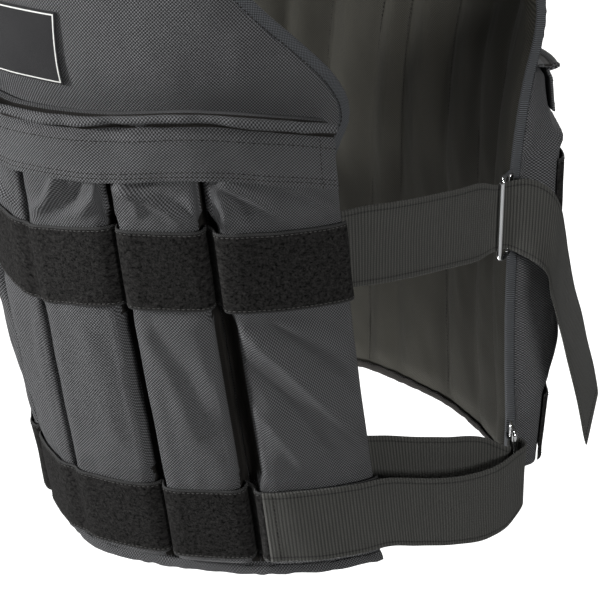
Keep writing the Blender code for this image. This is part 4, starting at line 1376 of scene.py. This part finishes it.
def calc(tree, operation, *values):
    """A Math node of the values or sockets, and its result."""
    node = tree.nodes.new("ShaderNodeMath")
    node.operation = operation
    for socket, value in zip(node.inputs, values):
        if isinstance(value, (int, float)):
            socket.default_value = value
        else:
            tree.links.new(value, socket)
    return node.outputs[0]


def scaled(tree, value, factor, offset):
    """value * factor + offset."""
    return calc(tree, "ADD", calc(tree, "MULTIPLY", value, factor), offset)


def blended(tree, one, share, other, rest):
    """one * share + other * rest."""
    parts = [calc(tree, "MULTIPLY", *pair) for pair in ((one, share), (other, rest))]
    return calc(tree, "ADD", *parts)


def split(tree, vector):
    """The first two parts of a vector."""
    node = tree.nodes.new("ShaderNodeSeparateXYZ")
    tree.links.new(vector, node.inputs[0])
    return node.outputs[0], node.outputs[1]


def noise(tree, vector, scale, detail=3.0, roughness=0.55):
    """A noise texture's value, from 0 to 1."""
    node = tree.nodes.new("ShaderNodeTexNoise")
    for label, value in (("Scale", scale), ("Detail", detail), ("Roughness", roughness)):
        node.inputs[label].default_value = value
    tree.links.new(vector, node.inputs["Vector"])
    return node.outputs["Fac"]


RELIEF_RESULTS = (("Height", "NodeSocketFloat"), ("Shade", "NodeSocketFloat"))
# A whole and a half turn, in radians
TURN, HALF_TURN = 6.2832, 3.1416


def relief_group(name, inputs):
    """A node group that takes a vector and the inputs' lengths, and gives a height and a shade."""
    lengths = [(label, "NodeSocketFloat", value) for label, value in inputs]
    return node_group(name, [("Vector", "NodeSocketVector", None), *lengths], RELIEF_RESULTS)


def weave_group():
    """Coarse nylon: threads that show as dots in staggered rows.

    Their height is the cosines of both ways multiplied, brought to 0 to 1. The pitch is
    the distance from one dot to the next in its row.
    """
    tree, given, result = relief_group("nylon_weave", (("Pitch", 0.0018),))
    vector, pitch = given.outputs["Vector"], given.outputs["Pitch"]
    wobble = calc(tree, "SUBTRACT", noise(tree, vector, 45.0, 1.0), 0.5)
    wobble = calc(tree, "MULTIPLY", wobble, 0.0012)
    waves = []
    for value in split(tree, vector):
        turns = calc(tree, "DIVIDE", calc(tree, "ADD", value, wobble), pitch)
        waves.append(calc(tree, "COSINE", calc(tree, "MULTIPLY", turns, TURN)))
    height = scaled(tree, calc(tree, "MULTIPLY", *waves), 0.5, 0.5)
    grain = calc(tree, "MULTIPLY", noise(tree, vector, 2600.0, 2.0), 0.2)
    height = calc(tree, "ADD", height, grain)
    tree.links.new(height, result.inputs["Height"])
    shade = scaled(tree, calc(tree, "POWER", height, 1.6), 2.5, 0.04)
    tree.links.new(shade, result.inputs["Shade"])


def rib_group():
    """Webbing: ribs across it as a sine of the way along, crossed by finer threads.

    A darker line runs along it at Line from its middle.
    """
    tree, given, result = relief_group(
        "webbing_ribs", (("Rib", 0.0016), ("Thread", 0.0011), ("Line", 0.0215)))
    vector = given.outputs["Vector"]
    x, y = split(tree, vector)
    u = calc(tree, "DIVIDE", x, given.outputs["Rib"])
    odd = calc(tree, "MODULO", calc(tree, "FLOOR", u), 2.0)
    shift = calc(tree, "MULTIPLY", odd, 0.5)
    v = calc(tree, "ADD", calc(tree, "DIVIDE", y, given.outputs["Thread"]), shift)
    rib, thread = (
        calc(tree, "ABSOLUTE", calc(tree, "SINE", calc(tree, "MULTIPLY", way, HALF_TURN)))
        for way in (u, v))
    height = blended(tree, rib, 0.7, thread, 0.3)
    grain = calc(tree, "MULTIPLY", noise(tree, vector, 1800.0, 2.0), 0.25)
    height = calc(tree, "ADD", height, grain)
    away = calc(tree, "SUBTRACT", calc(tree, "ABSOLUTE", y), given.outputs["Line"])
    line = calc(tree, "LESS_THAN", calc(tree, "ABSOLUTE", away), 0.0005)
    height = calc(tree, "SUBTRACT", height, calc(tree, "MULTIPLY", line, 0.5))
    tree.links.new(height, result.inputs["Height"])
    tree.links.new(scaled(tree, height, 0.85, 0.30), result.inputs["Shade"])


def pile_group():
    """Loop pile: fine noise over coarser clumps."""
    tree, given, result = relief_group("loop_pile_relief", ())
    vector = given.outputs["Vector"]
    fine = noise(tree, vector, 820.0, 4.0, 0.7)
    clump = noise(tree, vector, 380.0, 2.0)
    height = blended(tree, fine, 0.6, clump, 0.4)
    tree.links.new(height, result.inputs["Height"])
    shade = scaled(tree, calc(tree, "SUBTRACT", height, 0.5), 10.0, 1.25)
    tree.links.new(shade, result.inputs["Shade"])


def wear_group():
    """Dust and rubbing: slow noise that lightens the cloth in patches."""
    tree, given, result = node_group(
        "dust_and_rubbing",
        (("Vector", "NodeSocketVector", None), ("Amount", "NodeSocketFloat", 0.2)),
        (("Shade", "NodeSocketFloat"), ("Roughness", "NodeSocketFloat")))
    vector = given.outputs["Vector"]
    slow = noise(tree, vector, 14.0, 4.0)
    quick = noise(tree, vector, 90.0, 3.0)
    centred = calc(tree, "SUBTRACT", blended(tree, slow, 0.6, quick, 0.4), 0.5)
    shade = scaled(tree, centred, given.outputs["Amount"], 1.0)
    tree.links.new(shade, result.inputs["Shade"])
    tree.links.new(scaled(tree, centred, 0.25, 0.78), result.inputs["Roughness"])


def new_material(name):
    """A material, with its node tree, its Principled node and its texture coordinates."""
    material = bpy.data.materials.new(name)
    material.use_nodes = True
    tree = material.node_tree
    place = tree.nodes.new("ShaderNodeTexCoord")
    return material, tree, tree.nodes["Principled BSDF"], place.outputs


def placed_group(tree, name, vector, values):
    """A node group in a material, fed with a vector and its own values."""
    group = tree.nodes.new("ShaderNodeGroup")
    group.node_tree = bpy.data.node_groups[name]
    tree.links.new(vector, group.inputs["Vector"])
    for label, value in values.items():
        group.inputs[label].default_value = value
    return group.outputs


def cloth_material(name, colour, relief, values, amount, distance, sheen, gloss):
    """Cloth: a base colour times the relief's shade and the wear's, with the relief as bump.

    values are the relief group's own, amount is that of the wear, and distance that of the bump.
    """
    _, tree, shader, place = new_material(name)
    weave = placed_group(tree, relief, place["UV"], values)
    wear = placed_group(tree, "dust_and_rubbing", place["Object"], {"Amount": amount})
    shade = calc(tree, "MULTIPLY", weave["Shade"], wear["Shade"])
    tint = tree.nodes.new("ShaderNodeVectorMath")
    tint.operation = "SCALE"
    tint.inputs[0].default_value = colour
    tree.links.new(shade, tint.inputs["Scale"])
    tree.links.new(tint.outputs["Vector"], shader.inputs["Base Color"])
    tree.links.new(wear["Roughness"], shader.inputs["Roughness"])
    bump = tree.nodes.new("ShaderNodeBump")
    bump.inputs["Strength"].default_value = 1.0
    bump.inputs["Distance"].default_value = distance
    tree.links.new(weave["Height"], bump.inputs["Height"])
    tree.links.new(bump.outputs["Normal"], shader.inputs["Normal"])
    shader.inputs["Specular IOR Level"].default_value = gloss
    shader.inputs["Sheen Weight"].default_value = sheen
    shader.inputs["Sheen Roughness"].default_value = 0.5


def chrome_material(name, colour):
    """Plated wire: a mirror with faint scratches in its roughness."""
    _, tree, shader, place = new_material(name)
    rough = scaled(tree, noise(tree, place["Object"], 160.0, 5.0), 0.16, 0.04)
    tree.links.new(rough, shader.inputs["Roughness"])
    shader.inputs["Base Color"].default_value = (*colour, 1.0)
    shader.inputs["Metallic"].default_value = 1.0


NYLON, RIBS, PILE = "nylon_weave", "webbing_ribs", "loop_pile_relief"
FINE_WEAVE = {"Pitch": 0.0013}
WEBBING_RIBS = {"Rib": 0.0021, "Thread": 0.0012, "Line": 0.0215}
THREAD_TWIST = {"Rib": 0.0003, "Thread": 0.0003, "Line": 1.0}
SATIN_WEAVE = {"Rib": 0.0004, "Thread": 0.0005, "Line": 1.0}
CLOTHS = (
    # material, colour, relief and its values, wear, depth of the bump, sheen, gloss
    ("outer_cloth", "outer_cloth", NYLON, {"Pitch": 0.0019}, 0.5, 0.0008, 0.03, 0.14),
    # Near-black nylon painted as shade: in pocket gaps, under and below the flap's ridge, under the
    # hem, and on stitches
    ("painted_shade_cloth", "painted_shade", NYLON, FINE_WEAVE, 0.3, 0.0003, 0.0, 0.14),
    ("quilted_lining", "lining", NYLON, FINE_WEAVE, 0.7, 0.0003, 0.02, 0.14),
    ("edge_tape", "binding", NYLON, FINE_WEAVE, 0.4, 0.0002, 0.02, 0.14),
    ("loop_pile", "loop_pile", PILE, {}, 0.5, 0.0012, 0.01, 0.05),
    ("selvedge", "selvedge", NYLON, {"Pitch": 0.0010}, 0.4, 0.0002, 0.02, 0.14),
    ("ribbed_webbing", "webbing", RIBS, WEBBING_RIBS, 0.4, 0.0010, 0.03, 0.14),
    ("sewing_thread", "thread", RIBS, THREAD_TWIST, 0.5, 0.0001, 0.0, 0.14),
    ("patch_satin", "satin", RIBS, SATIN_WEAVE, 0.3, 0.0001, 0.1, 0.14),
    ("patch_border", "label_border", RIBS, SATIN_WEAVE, 0.2, 0.0001, 0.0, 0.14),
)


def make_finishes():
    """Every node group once, and every material with its own values."""
    colours = bpy.context.scene.vest_colours
    for build in (weave_group, rib_group, pile_group, wear_group):
        build()
    for name, colour, *rest in CLOTHS:
        cloth_material(name, getattr(colours, colour), *rest)
    chrome_material("plated_wire", colours.chrome)


# Stage

def make_floor():
    """A level grid of points, grey to the light, and white where the camera sees it."""
    steps = np.linspace(-FLOOR_REACH, FLOOR_REACH, 5)
    x, y = np.meshgrid(steps, steps)
    height = np.full_like(x, bpy.context.scene.vest_sizes.floor_height)
    points = np.stack([x, y, height], axis=-1).reshape(-1, 3)
    quads = grid_quads(np.arange(x.size).reshape(x.shape))
    mesh = bpy.data.meshes.new("floor")
    mesh.from_pydata(points.tolist(), [], quads.tolist())
    floor = bpy.data.objects.new("floor", mesh)
    bpy.context.scene.collection.objects.link(floor)
    material, tree, shader, place = new_material("pale_floor")
    rough = scaled(tree, noise(tree, place["Object"], 3.0), 0.1, 0.8)
    tree.links.new(rough, shader.inputs["Roughness"])
    shader.inputs["Base Color"].default_value = (0.30, 0.30, 0.30, 1.0)
    shader.inputs["Emission Color"].default_value = (1.0, 1.0, 1.0, 1.0)
    seen = tree.nodes.new("ShaderNodeLightPath").outputs["Is Camera Ray"]
    tree.links.new(seen, shader.inputs["Emission Strength"])
    mesh.materials.append(material)


def make_lights():
    """Soft round lights turned to the vest, in a white world that lights less than it shows."""
    for name, place, target, size, power in LIGHTS:
        data = bpy.data.lights.new(name, "AREA")
        data.shape = "DISK"
        data.size = size
        data.energy = power
        lamp = bpy.data.objects.new(name, data)
        aim = Vector(target) - Vector(place)
        turn = aim.to_track_quat("-Z", "Y").to_matrix().to_4x4()
        lamp.matrix_world = Matrix.Translation(place) @ turn
        bpy.context.scene.collection.objects.link(lamp)
    world = bpy.data.worlds.new("white_room")
    world.use_nodes = True
    tree = world.node_tree
    seen = tree.nodes.new("ShaderNodeLightPath").outputs["Is Camera Ray"]
    strength = scaled(tree, seen, WORLD_SEEN, WORLD_LIGHT)
    tree.links.new(strength, tree.nodes["Background"].inputs["Strength"])
    tree.nodes["Background"].inputs["Color"].default_value = (1.0, 1.0, 1.0, 1.0)
    bpy.context.scene.world = world
    bpy.context.scene.view_settings.view_transform = "Standard"


def make_camera():
    """The photograph's camera: its place, the way it looks, and its lens."""
    data = bpy.data.cameras.new("camera")
    data.lens = CAMERA_LENS
    data.sensor_width = SENSOR_WIDTH
    data.clip_end = 50.0
    camera = bpy.data.objects.new("camera", data)
    turn = Vector(CAMERA_WAY).to_track_quat("-Z", "Y").to_matrix().to_4x4()
    camera.matrix_world = Matrix.Translation(CAMERA_PLACE) @ turn
    bpy.context.scene.collection.objects.link(camera)
    bpy.context.scene.camera = camera


# Sizes, colours, operators and panel

def length_property(name, description, default, high):
    """A length in metres."""
    return FloatProperty(name=name, description=description, default=default, min=0.0, max=high,
                         precision=5, unit="LENGTH")


def colour_property(name, description, default):
    """A linear colour."""
    return FloatVectorProperty(name=name, description=description, default=default, size=3,
                               min=0.0, max=1.0, subtype="COLOR")


class VestSizes(bpy.types.PropertyGroup):
    """Sizes that change the vest's cloth without changing its solids."""

    fold_depth: FloatProperty(name="Fold depth", description="How deep the pockets' folds are",
                              default=1.5, min=0.0, max=3.0, subtype="FACTOR")
    quilt_depth: length_property("Quilt depth", "How far the lining swells", 0.0060, 0.010)
    binding_width: length_property("Binding width", "How far the tape reaches in", 0.0075, 0.015)
    stitch_length: length_property("Stitch length", "Length of one dash of thread", 0.0019, 0.006)
    stitch_pitch: length_property("Stitch pitch", "From one dash to the next", 0.0028, 0.01)
    stitch_width: length_property("Stitch width", "Width of the thread", 0.0006, 0.002)
    floor_height: FloatProperty(name="Floor height", description="Height of the floor",
                                default=-0.80, unit="LENGTH")


class VestColours(bpy.types.PropertyGroup):
    """Colours of the vest's finishes."""

    outer_cloth: colour_property("Outer cloth", "Coarse grey nylon", (0.0535, 0.0540, 0.0560))
    # Near black, painted as shade in the pocket gaps, under the flap's ridge and hem, and on
    # stitches
    painted_shade: colour_property("Painted shade", "Dark cloth between the pockets", (0.011, 0.010, 0.009))
    lining: colour_property("Lining", "Quilted lining", (0.0150, 0.0143, 0.0113))
    binding: colour_property("Binding", "Tape over the edges", (0.040, 0.042, 0.045))
    loop_pile: colour_property("Loop pile", "Face of the loop tape", (0.0092, 0.0089, 0.0086))
    selvedge: colour_property("Selvedge", "Edge of the loop tape", (0.019, 0.019, 0.019))
    webbing: colour_property("Webbing", "Side straps", (0.054, 0.0538, 0.0495))
    thread: colour_property("Thread", "Stitches", (0.060, 0.059, 0.057))
    satin: colour_property("Satin", "Bare patch", (0.008, 0.008, 0.009))
    label_border: colour_property("Patch border", "Thin line round the patch", (0.62, 0.62, 0.60))
    chrome: colour_property("Chrome", "Ring wire", (0.80, 0.81, 0.82))


class VestOperator:
    """What the vest's operators share."""

    bl_options = {"REGISTER", "UNDO"}


class VEST_OT_finishes(VestOperator, bpy.types.Operator):
    """Build the cloths, webbing and metal"""

    bl_idname = "vest.finishes"
    bl_label = "Finishes"

    def execute(self, context):
        make_finishes()
        return {"FINISHED"}


class VEST_OT_panels(VestOperator, bpy.types.Operator):
    """Build the front and back panels"""

    bl_idname = "vest.panels"
    bl_label = "Panels"

    def execute(self, context):
        for side in SIDES:
            make_panel(side)
        return {"FINISHED"}


class VEST_OT_bindings(VestOperator, bpy.types.Operator):
    """Build the tape over the panels' edges"""

    bl_idname = "vest.bindings"
    bl_label = "Edge bindings"

    def execute(self, context):
        make_bindings()
        return {"FINISHED"}


class VEST_OT_pockets(VestOperator, bpy.types.Operator):
    """Build the twelve filled pockets"""

    bl_idname = "vest.pockets"
    bl_label = "Pockets"

    def execute(self, context):
        for side in SIDES:
            for sign in SIGNS:
                for column in range(3):
                    make_pocket(side, column, sign)
        return {"FINISHED"}


class VEST_OT_tapes(VestOperator, bpy.types.Operator):
    """Build the bands of loop tape"""

    bl_idname = "vest.tapes"
    bl_label = "Loop tapes"

    def execute(self, context):
        for side in SIDES:
            make_tape(side, UPPER_TAPE, "upper")
            make_tape(side, LOWER_TAPE, "lower")
        return {"FINISHED"}


class VEST_OT_flaps(VestOperator, bpy.types.Operator):
    """Build the flaps over the pocket mouths"""

    bl_idname = "vest.flaps"
    bl_label = "Flaps"

    def execute(self, context):
        for side in SIDES:
            make_flap(side)
        return {"FINISHED"}


class VEST_OT_label(VestOperator, bpy.types.Operator):
    """Build the bare patch on the chest"""

    bl_idname = "vest.label"
    bl_label = "Patch"

    def execute(self, context):
        make_label()
        return {"FINISHED"}


class VEST_OT_hems(VestOperator, bpy.types.Operator):
    """Build the tape folded round each hem"""

    bl_idname = "vest.hems"
    bl_label = "Hem tapes"

    def execute(self, context):
        for side in SIDES:
            make_hem(side)
        return {"FINISHED"}


class VEST_OT_shoulders(VestOperator, bpy.types.Operator):
    """Build the padded shoulder straps"""

    bl_idname = "vest.shoulders"
    bl_label = "Shoulder straps"

    def execute(self, context):
        for sign in SIGNS:
            make_shoulder(sign)
        return {"FINISHED"}


class VEST_OT_straps(VestOperator, bpy.types.Operator):
    """Build the side straps of webbing"""

    bl_idname = "vest.straps"
    bl_label = "Side straps"

    def execute(self, context):
        for sign in SIGNS:
            make_strap("upper", sign)
            make_strap("lower", sign)
        return {"FINISHED"}


class VEST_OT_rings(VestOperator, bpy.types.Operator):
    """Build the wire rings and the tabs that hold them"""

    bl_idname = "vest.rings"
    bl_label = "Rings and tabs"

    def execute(self, context):
        for sign in SIGNS:
            for level in ("upper", "lower"):
                make_ring(level, sign)
                make_tab(level, sign)
        return {"FINISHED"}


class VEST_OT_stage(VestOperator, bpy.types.Operator):
    """Build the floor, the lights and the camera"""

    bl_idname = "vest.stage"
    bl_label = "Stage"

    def execute(self, context):
        make_floor()
        make_lights()
        make_camera()
        return {"FINISHED"}


OPERATORS = (
    VEST_OT_finishes, VEST_OT_panels, VEST_OT_bindings, VEST_OT_pockets, VEST_OT_tapes,
    VEST_OT_flaps, VEST_OT_label, VEST_OT_hems, VEST_OT_shoulders, VEST_OT_straps, VEST_OT_rings,
    VEST_OT_stage,
)


class VEST_PT_panel(bpy.types.Panel):
    """The vest's sizes, colours and pieces."""

    bl_label = "Weighted vest"
    bl_idname = "VEST_PT_panel"
    bl_space_type = "VIEW_3D"
    bl_region_type = "UI"
    bl_category = "Vest"

    def draw(self, context):
        """List the sizes, the colours and a button for each group of pieces."""
        for group in (context.scene.vest_sizes, context.scene.vest_colours):
            box = self.layout.box()
            for name in group.__annotations__:
                box.prop(group, name)
        for operator in OPERATORS:
            self.layout.operator(operator.bl_idname)


CLASSES = (VestSizes, VestColours, *OPERATORS, VEST_PT_panel)


def register():
    """Register the classes and give the scene its sizes and colours."""
    for item in CLASSES:
        bpy.utils.register_class(item)
    bpy.types.Scene.vest_sizes = PointerProperty(type=VestSizes)
    bpy.types.Scene.vest_colours = PointerProperty(type=VestColours)


def unregister():
    """Take the sizes, the colours and the classes away again."""
    del bpy.types.Scene.vest_colours
    del bpy.types.Scene.vest_sizes
    for item in reversed(CLASSES):
        bpy.utils.unregister_class(item)


def main():
    """Build every group of pieces in order."""
    register()
    for operator in OPERATORS:
        group, name = operator.bl_idname.split(".")
        getattr(getattr(bpy.ops, group), name)()


if __name__ == "__main__":
    main()
